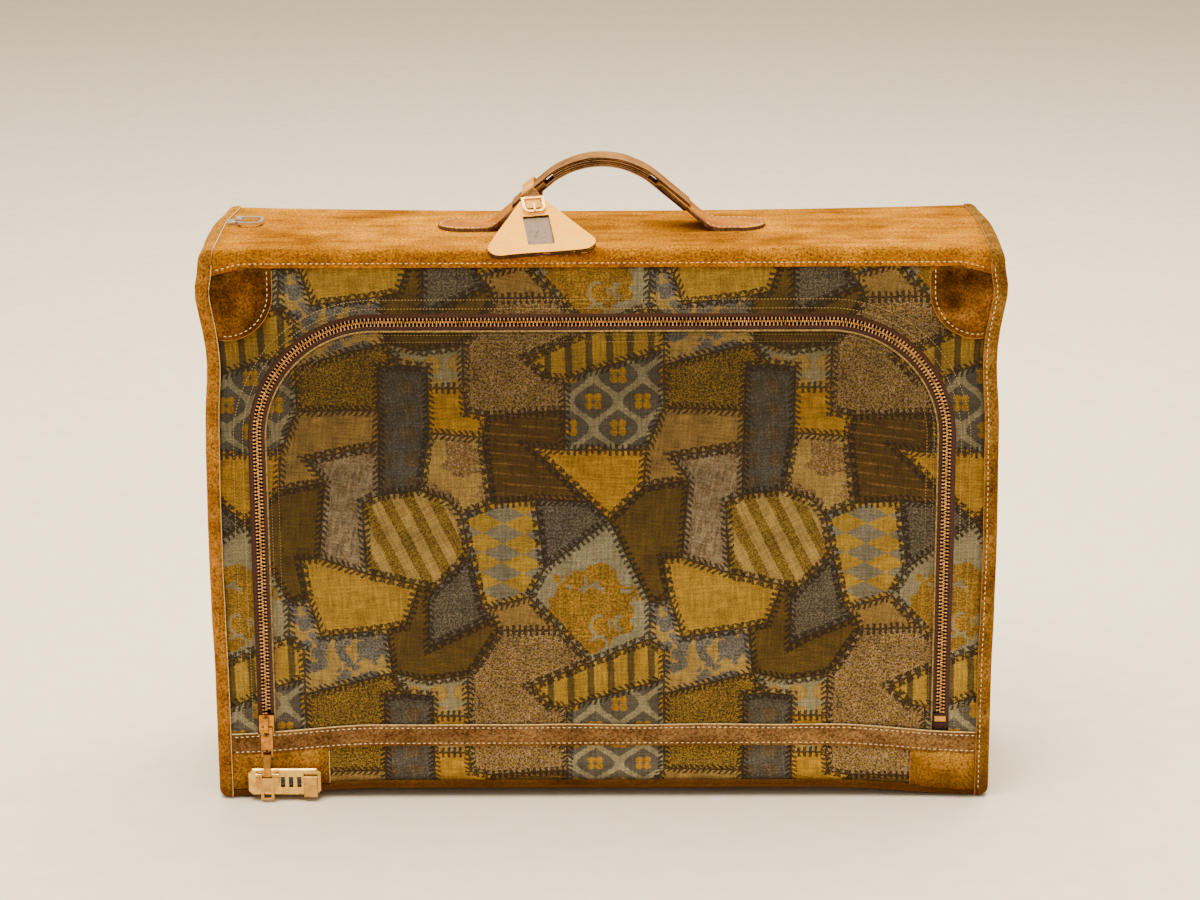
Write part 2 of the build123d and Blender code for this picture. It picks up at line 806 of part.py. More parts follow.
with BuildPart() as handle_filler:
    with BuildSketch(front_plane(grip_width / 2)):
        with BuildLine():
            CenterArc((0, grip_centre), grip_arc, 90 - grip_angle, 2 * grip_angle)
        trace(line_width=grip_core - 2 * core_clear)
    extrude(amount=grip_width)
keep("handle_filler", handle_filler.part)

tab_line = case_height + tab_thick / 2
fold_down = (leg_point(0)[1] - tab_line) / sin(lean)
fold_x = leg_point(fold_down)[0]
tab_tip = fold_x + tab_reach
slot_down = strap_end - strap_thick / 2
slot_x, slot_height = leg_point(slot_down)
with BuildPart() as handle_tab:
    with BuildSketch(front_plane(tab_half_base)):
        with BuildLine():
            FilletPolyline(
                (tab_tip, tab_line), (fold_x, tab_line), leg_point(tab_top), radius=tab_bend
            )
        trace(line_width=tab_thick)
    extrude(amount=2 * tab_half_base)
    with BuildSketch(Plane.XY.offset(case_height)):
        with BuildLine():
            Polyline(
                (leg_point(0)[0], -tab_half_top),
                (slot_x, -tab_half_slot),
                (fold_x, -tab_half_base),
                (tab_tip - tab_half_base, -tab_half_base),
            )
            RadiusArc(
                (tab_tip - tab_half_base, -tab_half_base),
                (tab_tip - tab_half_base, tab_half_base),
                -tab_half_base,
            )
            Polyline(
                (tab_tip - tab_half_base, tab_half_base),
                (fold_x, tab_half_base),
                (slot_x, tab_half_slot),
                (leg_point(0)[0], tab_half_top),
                (leg_point(0)[0], -tab_half_top),
            )
        make_face()
    extrude(amount=grip_peak, mode=Mode.INTERSECT)
    slot_plane = Plane(
        origin=(slot_x, 0, slot_height),
        x_dir=(cos(lean), 0, -sin(lean)),
        z_dir=(sin(lean), 0, cos(lean)),
    )
    with BuildSketch(slot_plane):
        Rectangle(strap_thick + 2 * slot_clear, grip_width + 2 * slot_clear)
    extrude(amount=grip_thick, both=True, mode=Mode.SUBTRACT)
keep("right_handle_tab", handle_tab.part)
keep("left_handle_tab", mirrored(handle_tab.part))

# Luggage tag: it hangs from the handle's left leg and rests on the rounded front edge of the top
leaf_half = tag_leather + tag_inlay  # from the tag's middle plane to its faces
slope = radians(tag_slope)
tag_down = (abs(tag_across) - leg_point(0)[0]) / cos(lean)
tag_height_on_leg = leg_point(tag_down)[1]
loop_half_width = tab_half_slot + tag_strap_clear
loop_half_height = grip_thick / 2 + tag_strap_clear
tag_y = -loop_half_width - tag_strap_thick / 2
edge_y = front_y + edge_radius
edge_z = case_height - edge_radius
rest_reach = edge_radius + leaf_half + tag_rest_gap
tag_z = edge_z + (rest_reach - (edge_y - tag_y) * sin(slope)) / cos(slope)
turn = radians(tag_lean)
tag_plane = Plane(
    origin=(tag_across, tag_y, tag_z),
    x_dir=(cos(turn), sin(turn) * cos(slope), sin(turn) * sin(slope)),
    z_dir=(0, -sin(slope), cos(slope)),
)


def tag_leaf():
    """Outline of the tag's leather, a rounded triangle hung from its top."""
    with BuildSketch() as outline:
        with BuildLine():
            Polyline(
                (-tag_top_width / 2, -tag_shoulder),
                (tag_top_width / 2, -tag_shoulder),
                (tag_foot_width / 2, -tag_length),
                (-tag_foot_width / 2, -tag_length),
                close=True,
            )
        make_face()
        fillet(outline.vertices().group_by(Axis.Y)[0], radius=tag_foot_round)
        fillet(outline.vertices().group_by(Axis.Y)[-1], radius=tag_top_round)
    return outline.sketch


def tag_pane(rim):
    """Outline of the tag's window, widened by a rim."""
    with BuildSketch() as outline:
        with Locations((0, -tag_pane_drop - tag_pane_length / 2)):
            Rectangle(tag_pane_width + 2 * rim, tag_pane_length + 2 * rim)
    return outline.sketch


with BuildPart() as tag_back:
    with BuildSketch(tag_plane.offset(-leaf_half)):
        add(tag_leaf())
    extrude(amount=tag_leather + 2 * tag_inlay)
    with BuildSketch(tag_plane.offset(-tag_inlay)):
        add(tag_pane(tag_pocket_rim))
    extrude(amount=2 * tag_inlay, mode=Mode.SUBTRACT)
keep("tag_back", tag_back.part)

with BuildPart() as tag_card:
    with BuildSketch(tag_plane.offset(-tag_inlay)):
        add(tag_pane(tag_pocket_rim))
    extrude(amount=tag_inlay)
keep("tag_card", tag_card.part)

with BuildPart() as tag_window:
    with BuildSketch(tag_plane):
        add(tag_pane(tag_pocket_rim))
    extrude(amount=tag_inlay)
keep("tag_window", tag_window.part)

with BuildPart() as tag_front:
    with BuildSketch(tag_plane.offset(tag_inlay)):
        add(tag_leaf())
        add(tag_pane(0), mode=Mode.SUBTRACT)
    extrude(amount=tag_leather)
keep("tag_front", tag_front.part)

loop_plane = Plane(
    origin=(tag_across, 0, tag_height_on_leg),
    x_dir=(0, 1, 0),
    z_dir=(cos(lean), 0, sin(lean)),
)
with BuildPart() as tag_strap:
    with BuildSketch(loop_plane):
        RectangleRounded(
            2 * (loop_half_width + tag_strap_thick),
            2 * (loop_half_height + tag_strap_thick),
            2 * tag_strap_thick,
        )
        Rectangle(2 * loop_half_width, 2 * loop_half_height, mode=Mode.SUBTRACT)
    extrude(amount=tag_strap_width / 2, both=True)
    with BuildSketch(tag_plane.offset(leaf_half)):
        with Locations((0, tag_strap_head)):
            Rectangle(
                tag_strap_width,
                tag_strap_tail + tag_strap_head,
                align=(Align.CENTER, Align.MAX),
            )
    extrude(amount=tag_strap_thick)
keep("tag_strap", tag_strap.part)

buckle_back = leaf_half + tag_strap_thick
with BuildPart() as tag_buckle:
    with BuildSketch(tag_plane.offset(buckle_back)) as buckle_outline:
        with Locations((0, -tag_shoulder)):
            Rectangle(buckle_width, buckle_length, align=(Align.CENTER, Align.MAX))
        fillet(buckle_outline.vertices().group_by(Axis.Y)[0], radius=buckle_width / 2 - buckle_bar)
        offset(amount=-buckle_bar, mode=Mode.SUBTRACT)
    extrude(amount=buckle_thick)
keep("tag_buckle", tag_buckle.part)

with BuildPart() as tag_prong:
    with BuildSketch(tag_plane.offset(buckle_back + buckle_thick)):
        with Locations((0, -tag_shoulder - buckle_length)):
            Rectangle(prong_width, prong_length, align=(Align.CENTER, Align.MIN))
    extrude(amount=prong_thick)
keep("tag_prong", tag_prong.part)

# Strap ring: an oval ring whose bar turns in a folded clip riveted to the top
clip_line = case_height + clip_sheet / 2
bar_half = ring_wire / 2
bar_z = case_height + clip_sheet + clip_gap + bar_half
clip_over = bar_z + bar_half + clip_gap + clip_sheet / 2
clip_front = ring_across + bar_half + clip_gap + clip_sheet / 2
clip_back = ring_across - bar_half - clip_gap
clip_end = clip_front - clip_tail - clip_gap
with BuildPart() as ring_clip:
    with BuildSketch(front_plane(ring_back + clip_width / 2)):
        with BuildLine():
            FilletPolyline(
                (clip_end, clip_line),
                (clip_front, clip_line),
                (clip_front, clip_over),
                (clip_back, clip_over),
                (clip_back - clip_sheet, clip_line + clip_sheet + clip_gap),
                (clip_end, clip_line + clip_sheet + clip_gap),
                radius=clip_bend,
            )
        trace(line_width=clip_sheet)
    extrude(amount=clip_width)
keep("ring_clip", ring_clip.part)

with BuildPart() as strap_ring:
    with BuildSketch(Plane.XY.offset(bar_z - bar_half)):
        with Locations((ring_across - bar_half, ring_back)):
            RectangleRounded(
                ring_reach, ring_breadth, ring_corner, align=(Align.MIN, Align.CENTER)
            )
        with Locations((ring_across + bar_half, ring_back)):
            RectangleRounded(
                ring_reach - 2 * ring_wire,
                ring_breadth - 2 * ring_wire,
                ring_corner - ring_wire,
                align=(Align.MIN, Align.CENTER),
                mode=Mode.SUBTRACT,
            )
    extrude(amount=ring_wire)
keep("strap_ring", strap_ring.part)

rivet_foot = clip_line + clip_sheet + clip_gap + clip_sheet / 2
with BuildPart() as ring_rivet:
    with BuildSketch(Plane.XY.offset(rivet_foot)):
        with Locations((clip_end + rivet_inset, ring_back)):
            Circle(rivet_radius)
    extrude(amount=rivet_rise)
keep("ring_rivet", ring_rivet.part)

os.makedirs("parts", exist_ok=True)
for name, solid in made.items():
    export_step(solid, f"parts/{name}.step")
print(f"tag pivot {tag_across:.2f} {tag_y:.2f} {tag_z:.2f}")
print(f"pull pivot {-zip_half:.2f} {pull_y:.2f} {pull_pivot:.2f}, flap {cloth_y:.2f} {hinge_height:.2f}")
print(f"hasp pivot {hasp_pivot_y:.2f} {hasp_pivot:.2f}, loop foot {loop_foot:.2f}, wheels {wheels_middle:.2f}")
print(f"axle {axle_y:.2f} {lock_height:.2f}, ring pivot {ring_across:.2f} {ring_back:.2f} {bar_z:.2f}")
print(f"slider travel {zip_top - zip_corner - slider_head - stop_gap:.2f}, {len(made)} pieces")
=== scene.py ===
"""Dresses a packed suitcase in suede, patchwork tapestry, zip, lock, handle and tag, as a Blender add-on."""

import math

import bmesh
import bpy
from mathutils import Matrix, Vector, noise


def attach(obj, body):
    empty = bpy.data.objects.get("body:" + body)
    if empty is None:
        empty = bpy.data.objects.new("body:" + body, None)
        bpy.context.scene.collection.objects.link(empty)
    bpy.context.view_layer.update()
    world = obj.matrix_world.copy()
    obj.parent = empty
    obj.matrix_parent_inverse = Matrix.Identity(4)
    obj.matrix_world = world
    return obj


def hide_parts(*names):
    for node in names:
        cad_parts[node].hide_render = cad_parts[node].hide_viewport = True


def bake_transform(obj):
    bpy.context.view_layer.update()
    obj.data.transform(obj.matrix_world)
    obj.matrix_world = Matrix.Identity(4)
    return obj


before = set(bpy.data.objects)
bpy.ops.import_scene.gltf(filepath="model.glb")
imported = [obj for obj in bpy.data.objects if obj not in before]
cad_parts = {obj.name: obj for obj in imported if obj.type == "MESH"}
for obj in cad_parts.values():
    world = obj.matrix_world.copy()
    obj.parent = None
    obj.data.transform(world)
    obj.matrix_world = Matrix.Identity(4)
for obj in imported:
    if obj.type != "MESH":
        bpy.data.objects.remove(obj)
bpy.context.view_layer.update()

bl_info = {
    "name": "Patchwork suitcase",
    "version": (1, 0, 0),
    "blender": (4, 5, 0),
    "location": "View3D > Sidebar > Suitcase",
    "description": "Dresses a suitcase frame in suede and patchwork tapestry",
    "category": "Object",
}

MM = 0.001
X_AXIS = Vector((1.0, 0.0, 0.0))
Y_AXIS = Vector((0.0, 1.0, 0.0))
Z_AXIS = Vector((0.0, 0.0, 1.0))
FRONT = -Y_AXIS
TURN_ROUND = Matrix.Rotation(math.pi, 4, "Z")

# Places on the case, in millimetres, as in the part's source
HALF_WIDTH = 330.0
HALF_DEPTH = 89.0
HEIGHT = 483.0
SIDE_EDGE = 319.0
TOP_EDGE = 468.0
BASE_EDGE = 10.0
CLOTH_Y = -87.0
ZIP_HALF = 288.0
ZIP_TOP = 421.0
ZIP_CORNER = 100.0
CLOTH_GAP = 7.2
HINGE = 57.5
STRIP_FOOT = 48.0
STRIP_HEAD = 67.0
GRIP_ARC = 70.0
GRIP_CENTRE = 470.6
# What the soft goods add to them: how far the suede ends stand proud, how far an edge runs under its
# neighbour, where the rows of stitches end, and how deep the zip's tapes and teeth lie
END_PROUD = 1.0
TUCK = 2.0
SEW_END = 316.0
TAPE_Y = -85.3
TEETH_Y = -84.9
# The suede patches: their outer edge, the top ones' inner edge, foot and corner, the low ones' inner
# edges, and how far in from the edge they are sewn
PATCH_OUTER = 320.0
TOP_PATCH_INNER = 271.0
TOP_PATCH_FOOT = 407.0
TOP_PATCH_ROUND = 40.0
LOW_PATCH_INNER = 263.0
LOCK_PATCH_INNER = 235.0
PATCH_SEAM = 3.8
# The ends' swell: how far, at what height, and over what spread
END_SWELL = ((5.0, 448.0, 26.0), (-3.0, 386.0, 34.0), (1.5, 230.0, 90.0))
# Dents and swells of the flap's cloth: how far, the middle and spread across, the middle and spread up, the slope
FLAP_DENTS = (
    (-6.5, 168.0, 60.0, 146.0, 18.0, 0.22),
    (-2.5, -205.0, 70.0, 320.0, 50.0, 0.0),
    (3.0, 150.0, 90.0, 215.0, 40.0, 0.0),
)
# Creases of a suede patch: how far, the middle and spread across, the middle over its dimple and spread up, the slope
PATCH_CREASES = (
    (3.2, 309.0, 10.0, -20.0, 20.0, 0.0),
    (2.2, 290.0, 16.0, -24.0, 10.0, 0.0),
    (1.6, 287.0, 10.0, 10.0, 8.0, 0.8),
    (-0.9, 297.0, 7.0, -6.0, 16.0, 0.0),
)
# One tooth of the zip, its foot and its head: from, to, breadth along the tape and thickness
TOOTH = ((1.7, 3.75, 1.4, 3.0), (-0.9, 1.8, 1.15, 2.2))
# Topstitching on the tapestry, as a share of the stitches on the suede
FINE_STITCH = 0.58

# Where the patchwork's repeat starts on the front, on the foot below the flap, and on the back
FRONT_START = (-201.0, 87.0)
FOOT_START = (-201.0, -235.0)
BACK_START = (-170.0, 60.0)
# The repeat: each patch is a fabric and its corners in millimetres
REPEAT = (306.0, 283.0)
REPEAT_STRETCH = 1.018
PATCHES = (
    ("ogee", ((170, 217), (238, 217), (253, 253), (253, 291), (253, 305), (170, 279), (170, 251))),
    ("mustard", ((141, 220), (191, 173), (207, 158), (236, 186), (238, 217), (170, 217))),
    ("ribbed", ((105, 246), (101, 228), (108, 172), (145, 175), (191, 173), (141, 220), (170, 217), (170, 251))),
    (
        "heather",
        (
            (113, 65), (95, 36), (86, 26), (86, -12), (87, -33), (105, -37),
            (170, -32), (170, -4), (156, -3), (139, 15), (191, 38), (165, 66),
        ),
    ),
    ("mustard", ((56, -12), (56, -52), (101, -55), (105, -37), (87, -33), (86, -12))),
    ("mottle", ((56, 231), (48, 183), (72, 174), (82, 162), (108, 172), (101, 228))),
    ("slate", ((15, 289), (14.3, 251), (13.7, 220), (13, 179), (48, 183), (56, 231), (56, 271), (56, 289), (33, 292))),
    ("roundel", ((22, 28), (33, 9), (56, 6), (56, -12), (86, -12), (86, 26), (50, 21))),
    ("speckle", ((253, 8), (253, -30), (320.3, -32), (321, 6), (339, 9), (328, 28))),
    ("tan", ((253, 253), (238, 217), (236, 186), (274, 191), (260, 211), (319.7, 220), (320.3, 251))),
    ("mauve", ((274, 191), (268, 127), (308, 114), (305, 172), (319, 179), (319.7, 220), (260, 211))),
    ("olive", ((236, 186), (207, 158), (241, 89), (258, 92), (252, 126), (268, 127), (274, 191))),
    ("scallop", ((207, 158), (152, 118), (139, 94), (165, 66), (191, 38), (241, 58), (241, 89))),
    ("charcoal", ((145, 175), (152, 118), (207, 158), (191, 173))),
    ("harlequin", ((82, 162), (89.3, 130), (100, 83), (139, 94), (152, 118), (145, 175), (108, 172))),
    (
        "diagonal",
        ((-1, 172), (2, 114), (46, 104), (60, 101), (89.3, 130), (82, 162), (72, 174), (48, 183), (13, 179)),
    ),
    ("straw", ((252, 126), (258, 92), (269, 60), (325, 67), (340, 70), (352, 104), (308, 114), (268, 127))),
    ("charcoal", ((89.3, 130), (60, 101), (54, 92), (54, 51), (108, 76), (100, 83))),
    (
        "olive",
        (
            (19, 67), (22, 28), (50, 21), (86, 26), (95, 36), (113, 65),
            (108, 76), (54, 51), (54, 92), (60, 101), (46, 104), (34, 70),
        ),
    ),
    ("blossom", ((241, 58), (253, 47), (253, 22), (253, 8), (328, 28), (325, 67), (269, 60), (258, 92), (241, 89))),
    ("tan", ((100, 83), (108, 76), (113, 65), (165, 66), (139, 94))),
    ("stripe", ((139, 15), (156, -3), (170, -4), (253, 22), (253, 47), (241, 58), (191, 38))),
)
FABRICS = tuple(dict.fromkeys(fabric for fabric, _ in PATCHES))
# How far each patch's pattern is moved on from the last one's, in metres, so that no two are alike
PATCH_SHIFT = (0.37, 0.23)
# How far each fabric's pattern is turned in its patch, in degrees
PATTERN_TURN = {"diagonal": -24.0, "stripe": -3.0, "harlequin": 4.0, "ribbed": 2.0, "mauve": 8.0, "tan": 5.0}
# Embroidery over a seam: how far its ticks slant, and whether they cross
SEAM_STYLES = ((0.0, 0.0), (0.36, 1.0), (0.7, 0.0), (0.3, 1.0), (0.9, 0.0))
SEAM_REACH = 5.4
# Where the scalloped patch stands in the list, which places its cluster
SCALLOP = [fabric for fabric, _ in PATCHES].index("scallop")


def colour(red, green, blue):
    """A display colour, 0 to 255, as linear light with full cover."""
    parts = []
    for value in (red, green, blue):
        share = value / 255.0
        parts.append(share / 12.92 if share <= 0.04045 else ((share + 0.055) / 1.055) ** 2.4)
    return (*parts, 1.0)


def plain(red, green, blue):
    """A display colour as a property's default."""
    return colour(red, green, blue)[:3]


class CaseSizes(bpy.types.PropertyGroup):
    """Sizes of the suitcase's soft goods and trim."""

    stitch_pitch: bpy.props.FloatProperty(
        name="Stitch pitch", description="From one stitch to the next", default=4.6 * MM, unit="LENGTH"
    )
    stitch_length: bpy.props.FloatProperty(
        name="Stitch length", description="Length of thread that shows", default=3.1 * MM, unit="LENGTH"
    )
    thread: bpy.props.FloatProperty(
        name="Thread", description="Breadth of the sewing thread", default=0.85 * MM, unit="LENGTH"
    )
    skin: bpy.props.FloatProperty(
        name="Suede", description="Thickness of the suede", default=1.8 * MM, unit="LENGTH"
    )
    cloth: bpy.props.FloatProperty(
        name="Tapestry", description="Thickness of the tapestry cloth", default=1.4 * MM, unit="LENGTH"
    )
    tooth_pitch: bpy.props.FloatProperty(
        name="Tooth pitch", description="Between the teeth of one row of the zip", default=3.2 * MM, unit="LENGTH"
    )
    edge_round: bpy.props.FloatProperty(
        name="Edge rounding", description="Radius of the suede edges", default=8.0 * MM, unit="LENGTH"
    )
    flap_crown: bpy.props.FloatProperty(
        name="Flap crown", description="How far the flap's cloth stands out", default=4.0 * MM, unit="LENGTH"
    )


class CaseColours(bpy.types.PropertyGroup):
    """Colours of the suitcase."""

    suede_light: bpy.props.FloatVectorProperty(
        name="Light suede", description="Suede with its nap raised", default=plain(214, 130, 22), subtype="COLOR"
    )
    suede_dark: bpy.props.FloatVectorProperty(
        name="Dark suede", description="Suede with its nap laid", default=plain(136, 72, 6), subtype="COLOR"
    )
    mustard: bpy.props.FloatVectorProperty(
        name="Mustard", description="Mustard yarn", default=plain(147, 107, 25), subtype="COLOR"
    )
    olive: bpy.props.FloatVectorProperty(
        name="Olive", description="Olive yarn", default=plain(78, 58, 20), subtype="COLOR"
    )
    tan: bpy.props.FloatVectorProperty(
        name="Tan", description="Tan yarn", default=plain(150, 120, 66), subtype="COLOR"
    )
    grey: bpy.props.FloatVectorProperty(
        name="Blue grey", description="Blue-grey yarn", default=plain(112, 102, 86), subtype="COLOR"
    )
    brown: bpy.props.FloatVectorProperty(
        name="Dark brown", description="Yarn of the embroidery", default=plain(32, 22, 10), subtype="COLOR"
    )
    thread: bpy.props.FloatVectorProperty(
        name="Thread", description="Cream sewing thread", default=plain(246, 218, 160), subtype="COLOR"
    )
    age: bpy.props.FloatVectorProperty(
        name="Age", description="Yellowing of the tapestry", default=(0.65, 0.65, 0.54), subtype="COLOR"
    )
    brass: bpy.props.FloatVectorProperty(
        name="Brass", description="Pale brass of the lock", default=plain(226, 184, 92), subtype="COLOR"
    )


def sizes():
    return bpy.context.scene.suitcase_sizes


def colours():
    return bpy.context.scene.suitcase_colours


def tint(name):
    """One of the suitcase's colours, with full cover."""
    return (*getattr(colours(), name), 1.0)


# Node trees


class Finish:
    """Builds one material's nodes."""

    def __init__(self, name):
        self.material = bpy.data.materials.new(name)
        self.material.use_nodes = True
        self.tree = self.material.node_tree
        self.tree.nodes.clear()
        self.shader = self.tree.nodes.new("ShaderNodeBsdfPrincipled")
        output = self.tree.nodes.new("ShaderNodeOutputMaterial")
        self.tree.links.new(self.shader.outputs["BSDF"], output.inputs["Surface"])

    def put(self, socket, value):
        """Links a socket to another node's output, or sets its value."""
        if isinstance(value, bpy.types.NodeSocket):
            self.tree.links.new(value, socket)
        else:
            socket.default_value = value

    def node(self, kind, settings=(), **inputs):
        made = self.tree.nodes.new(kind)
        for key, value in dict(settings).items():
            setattr(made, key, value)
        for key, value in inputs.items():
            self.put(made.inputs[key.replace("_", " ")], value)
        return made

    def math(self, operation, first, second=0.0, third=0.0):
        made = self.tree.nodes.new("ShaderNodeMath")
        made.operation = operation
        for socket, value in zip(made.inputs, (first, second, third)):
            self.put(socket, value)
        return made.outputs[0]

    def mix(self, share, first, second, blend="MIX"):
        made = self.tree.nodes.new("ShaderNodeMix")
        made.data_type = "RGBA"
        made.blend_type = blend
        self.put(made.inputs[0], share)
        self.put(made.inputs[6], first)
        self.put(made.inputs[7], second)
        return made.outputs[2]

    def rescale(self, value, low, high, to_low=0.0, to_high=1.0):
        made = self.tree.nodes.new("ShaderNodeMapRange")
        for key, number in zip(("From Min", "From Max", "To Min", "To Max"), (low, high, to_low, to_high)):
            made.inputs[key].default_value = number
        self.put(made.inputs["Value"], value)
        return made.outputs[0]

    def place(self):
        return self.node("ShaderNodeTexCoord").outputs["Object"]

    def map(self, name):
        return self.node("ShaderNodeUVMap", {"uv_map": name}).outputs["UV"]

    def parts(self, vector):
        return self.node("ShaderNodeSeparateXYZ", Vector=vector).outputs

    def join(self, x, y, z=0.0):
        return self.node("ShaderNodeCombineXYZ", X=x, Y=y, Z=z).outputs[0]

    def turned(self, vector, scale=(1.0, 1.0, 1.0), angle=0.0):
        made = self.node("ShaderNodeMapping", Vector=vector)
        made.inputs["Scale"].default_value = scale
        made.inputs["Rotation"].default_value = (0.0, 0.0, angle)
        return made.outputs[0]

    def noise(self, vector, scale, detail=2.0, rough=0.5):
        made = self.node("ShaderNodeTexNoise", Vector=vector, Scale=scale, Detail=detail, Roughness=rough)
        return made.outputs[0]

    def times(self, first, second):
        return self.math("MULTIPLY", first, second)

    def plus(self, first, second):
        return self.math("ADD", first, second)

    def minus(self, first, second):
        return self.math("SUBTRACT", first, second)

    def fit(self, value, factor, offset):
        return self.math("MULTIPLY_ADD", value, factor, offset)

    def absolute(self, value):
        return self.math("ABSOLUTE", value)

    def most(self, first, second):
        return self.math("MAXIMUM", first, second)

    def below(self, value, limit):
        return self.math("LESS_THAN", value, limit)

    def above(self, value, limit):
        return self.math("GREATER_THAN", value, limit)

    def squares(self, wide, tall):
        """The square of a distance, from how far it is each way."""
        return self.plus(self.math("POWER", wide, 2.0), self.math("POWER", tall, 2.0))

    def cells(self, vector, scale):
        return self.node("ShaderNodeTexVoronoi", Vector=vector, Scale=scale).outputs["Distance"]

    def specks(self, vector, scale, limit, detail=1.0):
        """Scattered flecks: 1 where a noise is over a limit, or else 0."""
        return self.above(self.noise(vector, scale, detail), limit)

    def wave(self, value, length):
        """0 to 1 across each length, over and over."""
        return self.math("FRACT", self.math("DIVIDE", value, length))

    def centred(self, value, length):
        """-0.5 to 0.5 across each length, over and over."""
        return self.minus(self.wave(value, length), 0.5)

    def off_middle(self, value, length):
        """0.5 down to 0 and up again across each length, over and over."""
        return self.absolute(self.centred(value, length))

    def facing(self, axis):
        """How nearly a surface faces along an axis, from 0 to 1."""
        made = self.node("ShaderNodeVectorMath", {"operation": "DOT_PRODUCT"})
        self.put(made.inputs[0], self.node("ShaderNodeTexCoord").outputs["Normal"])
        made.inputs[1].default_value = axis
        return self.absolute(made.outputs["Value"])

    def dye(self, base, tone):
        return self.mix(1.0, base, tone, "MULTIPLY")

    def shade(self, base, share):
        """A colour made darker or lighter by a share."""
        return self.dye(base, self.join(share, share, share))

    def bump(self, height, strength, distance):
        made = self.node("ShaderNodeBump", Height=height, Strength=strength, Distance=distance)
        return made.outputs[0]

    def finish(self, base, roughness, normal=None, **constants):
        self.put(self.shader.inputs["Base Color"], base)
        self.put(self.shader.inputs["Roughness"], roughness)
        if normal is not None:
            self.put(self.shader.inputs["Normal"], normal)
        for key, value in constants.items():
            self.shader.inputs[key.replace("_", " ")].default_value = value
        return self.material


def once(make):
    """Makes a material the first time it is asked for, and hands it out again after that."""
    kept = {}

    def handed(*words):
        if words not in kept:
            kept[words] = make(*words)
        return kept[words]

    return handed


# How light each piece of suede is, as shares of red, green and blue
SUEDE_TONES = {
    "top": (0.72, 0.80, 0.40),
    "end": (0.58, 0.72, 2.0),
    # The right end's suede is darkened as painted shade.
    "shaded_end": (0.38, 0.55, 2.6),
    # The base's suede is darkened to a painted shadow along the bottom edge.
    "base": (0.22, 0.28, 1.4),
    # The top patches' suede is darker partly in its own tone and partly as painted shade under the top lip.
    "patch": (0.208, 0.25, 1.1),
    "low_patch": (0.70, 0.97, 2.8),
    "lock_patch": (0.57, 0.77, 2.0),
    "strip": (0.33, 0.50, 4.6),
}
# How dark and how light the nap is where it is rubbed
SUEDE_RUB = {"patch": (0.45, 1.75), "low_patch": (0.7, 1.35), "lock_patch": (0.65, 1.35)}


@once
def suede_finish(tone):
    look = Finish(f"suede_{tone}")
    where = look.place()
    cloudy = look.noise(where, 9.0, 3.0, 0.55)
    brushed = look.noise(look.turned(where, (0.22, 1.0, 1.0)), 64.0, 4.0, 0.62)
    grain = look.noise(where, 520.0, 3.0, 0.75)
    rubbed = look.noise(where, 36.0, 2.0, 0.5)
    nap = look.plus(look.times(cloudy, 0.5), look.times(brushed, 0.5))
    base = look.mix(look.rescale(nap, 0.37, 0.65), tint("suede_dark"), tint("suede_light"))
    base = look.dye(base, (*SUEDE_TONES[tone], 1.0))
    fleck = look.rescale(grain, 0.34, 0.66, 0.24, 1.72)
    fleck = look.times(fleck, look.rescale(rubbed, 0.34, 0.66, *SUEDE_RUB.get(tone, (0.84, 1.16))))
    # Painted shade: on the top's suede, faces that turn to the front or back are darkened, as light from above falls
    # less on them.
    if tone == "top":
        fleck = look.times(fleck, look.rescale(look.facing(Y_AXIS), 0.35, 0.9, 1.0, 0.82))
    base = look.shade(base, fleck)
    height = look.parts(where)[2]
    soil = look.times(look.rescale(height, 0.06, 0.0), look.rescale(cloudy, 0.35, 0.6, 0.3, 0.9))
    base = look.mix(soil, base, colour(58, 32, 10))
    bump = look.bump(look.plus(grain, look.times(brushed, 1.2)), 0.7, 0.0008)
    return look.finish(
        base, 0.96, bump, Sheen_Weight=0.2, Sheen_Roughness=0.5, Sheen_Tint=colour(236, 146, 40), Specular_IOR_Level=0.0
    )


# Plain grained finishes: the noise's scale and detail, the range that it spreads over, its two colours, the
# roughness, the bump's strength and depth, and the gloss
GRAINED = {
    "raw_edge_pale": (900.0, 2.0, (0.3, 0.7), (160, 118, 60), (232, 198, 132), 0.95, 0.5, 0.0004, 0.15),
    "raw_edge_worn": (900.0, 2.0, (0.3, 0.7), (112, 68, 20), (172, 116, 48), 0.95, 0.5, 0.0004, 0.15),
    "flap_binding": (700.0, 2.0, (0.3, 0.7), (86, 66, 28), (166, 132, 70), 0.9, 0.5, 0.0003, 0.2),
    "wheel_plastic": (700.0, 2.0, (0.5, 0.8, 0.0, 0.4), (20, 18, 16), (64, 58, 50), 0.4, 0.1, 0.0002, 0.5),
    "tag_card": (600.0, 3.0, (0.3, 0.7), (112, 84, 56), (140, 110, 78), 0.8, 0.2, 0.0002, 0.5),
}


@once
def grained_finish(name):
    scale, detail, spread, dark, light, rough, strength, depth, gloss = GRAINED[name]
    look = Finish(name)
    grain = look.noise(look.place(), scale, detail)
    base = look.mix(look.rescale(grain, *spread), colour(*dark), colour(*light))
    return look.finish(base, rough, look.bump(grain, strength, depth), Specular_IOR_Level=gloss)


@once
def thread_finish(name):
    tones = {
        "cream": tint("thread"),
        "olive": colour(164, 136, 72),
        "moss": colour(118, 92, 40),
        "worn": colour(150, 92, 34),
    }
    look = Finish(f"thread_{name}")
    where = look.place()
    ply = look.noise(where, 1500.0, 1.0)
    worn = look.noise(where, 24.0, 2.0)
    base = look.mix(look.rescale(ply, 0.3, 0.7, 0.0, 0.35), tones[name], colour(120, 92, 52))
    base = look.mix(look.rescale(worn, 0.45, 0.7, 0.0, 0.5), base, colour(176, 140, 84))
    return look.finish(base, 0.8, look.bump(ply, 0.4, 0.0003), Specular_IOR_Level=0.25)


# Tapestry patterns: each gives the share of its second yarn and of a third one, from flat cloth coordinates


def stripe_pattern(look, flat, across, along):
    return look.below(look.wave(across, 0.0172), 0.34), 0.0


